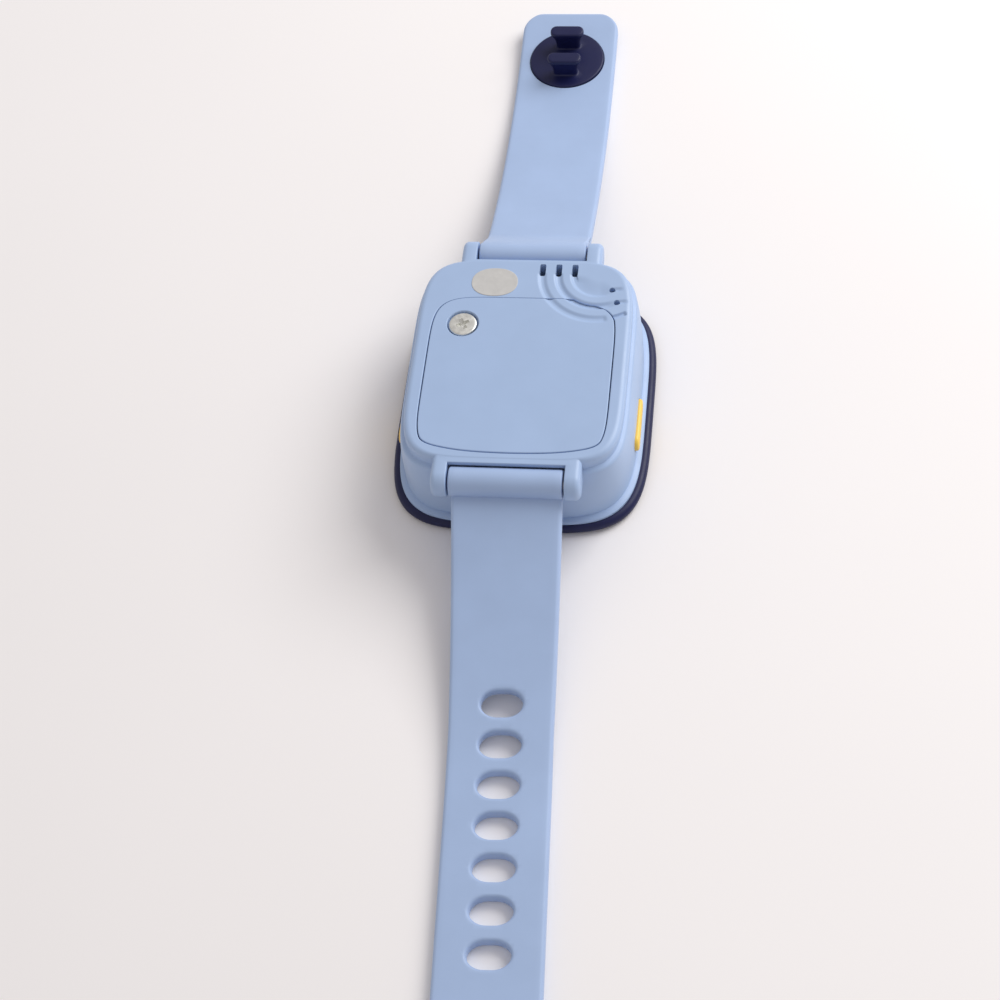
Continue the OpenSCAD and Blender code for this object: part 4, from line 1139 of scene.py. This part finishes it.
class InnerParts(bpy.types.Operator):
    """Finishes of the solids that keep their shape: display, board, speaker, cell, contacts, pins and screws"""

    bl_idname = "toy_watch.inner_parts"
    bl_label = "Inner parts"

    def execute(self, context):
        for finish, nodes in INNER_PARTS.items():
            for node in nodes:
                put_on(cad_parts[node].data, finish)
        return {"FINISHED"}


class Stage(bpy.types.Operator):
    """Pale floor, soft lamp, even sky and the camera"""

    bl_idname = "toy_watch.stage"
    bl_label = "Stage"

    def execute(self, context):
        scene = context.scene
        stage, colour = scene.watch_stage, scene.watch_finishes.table
        scene.view_settings.view_transform = "Standard"
        wide = stage.floor_reach
        mesh = bpy.data.meshes.new("table")
        mesh.from_pydata([(-wide, -wide, 0), (wide, -wide, 0), (wide, wide, 0), (-wide, wide, 0)], [],
                         [(0, 1, 2, 3)])
        floor = bpy.data.objects.new("table", mesh)
        scene.collection.objects.link(floor)
        finish = Finish("table_top", Roughness=0.6, Specular_IOR_Level=0.2)
        finish.colour(finish.noise(6, 2), scaled(colour, 0.985), scaled(colour, 1.01))
        mesh.materials.append(finish.made)
        world = bpy.data.worlds.new("studio")
        world.use_nodes = True
        sky = world.node_tree.nodes["Background"]
        sky.inputs["Color"].default_value = (1.0, 0.96, 0.95, 1)
        sky.inputs["Strength"].default_value = stage.sky
        scene.world = world
        lamp = bpy.data.lights.new("key_lamp", "AREA")
        lamp.energy = stage.key_power
        lamp.size = stage.key_width
        made = bpy.data.objects.new("key_lamp", lamp)
        made.location = stage.key_place
        made.rotation_euler = (-made.location).to_track_quat("-Z", "Y").to_euler()
        scene.collection.objects.link(made)
        camera = bpy.data.cameras.new("camera")
        camera.lens = stage.camera_lens
        camera.sensor_width = 36
        camera.clip_start = 0.01
        made = bpy.data.objects.new("camera", camera)
        made.location = stage.camera_place
        made.rotation_euler = stage.camera_turn
        scene.collection.objects.link(made)
        scene.camera = made
        return {"FINISHED"}


GROUPS = (("watch_case", CaseSizes), ("watch_grille", GrilleSizes), ("watch_door", DoorSizes),
          ("watch_strap", StrapSizes), ("watch_clasp", ClaspSizes), ("watch_front", FrontSizes),
          ("watch_finishes", WatchFinishes), ("watch_stage", StageSettings))
STEPS = (CaseShell, BatteryBay, BatteryDoor, Sticker, Front, SideButtons, Straps, Clasp, InnerParts, Stage)


class WatchPanel(bpy.types.Panel):
    """Sizes, colours and steps of the toy watch"""

    bl_idname = "VIEW3D_PT_toy_watch"
    bl_label = "Toy watch"
    bl_space_type = "VIEW_3D"
    bl_region_type = "UI"
    bl_category = "Toy watch"

    def draw(self, context):
        for name, group in GROUPS:
            column = self.layout.box().column(align=True)
            for word in group.__annotations__:
                column.prop(getattr(context.scene, name), word, text=word.replace("_", " ").capitalize())
        for step in STEPS:
            self.layout.operator(step.bl_idname)


def register():
    """Adds the settings, steps and panel."""
    for name, group in GROUPS:
        bpy.utils.register_class(group)
        setattr(bpy.types.Scene, name, bpy.props.PointerProperty(type=group))
    for kind in (*STEPS, WatchPanel):
        bpy.utils.register_class(kind)


def unregister():
    """Takes them away again."""
    for kind in (WatchPanel, *STEPS[::-1]):
        bpy.utils.unregister_class(kind)
    for name, group in GROUPS[::-1]:
        delattr(bpy.types.Scene, name)
        bpy.utils.unregister_class(group)


def main():
    """Builds every piece in order."""
    register()
    steps = bpy.ops.toy_watch
    steps.case_shell()
    steps.battery_bay()
    steps.battery_door()
    steps.sticker()
    steps.front()
    steps.side_buttons()
    steps.straps()
    steps.clasp()
    steps.inner_parts()
    steps.stage()


if __name__ == "__main__":
    main()
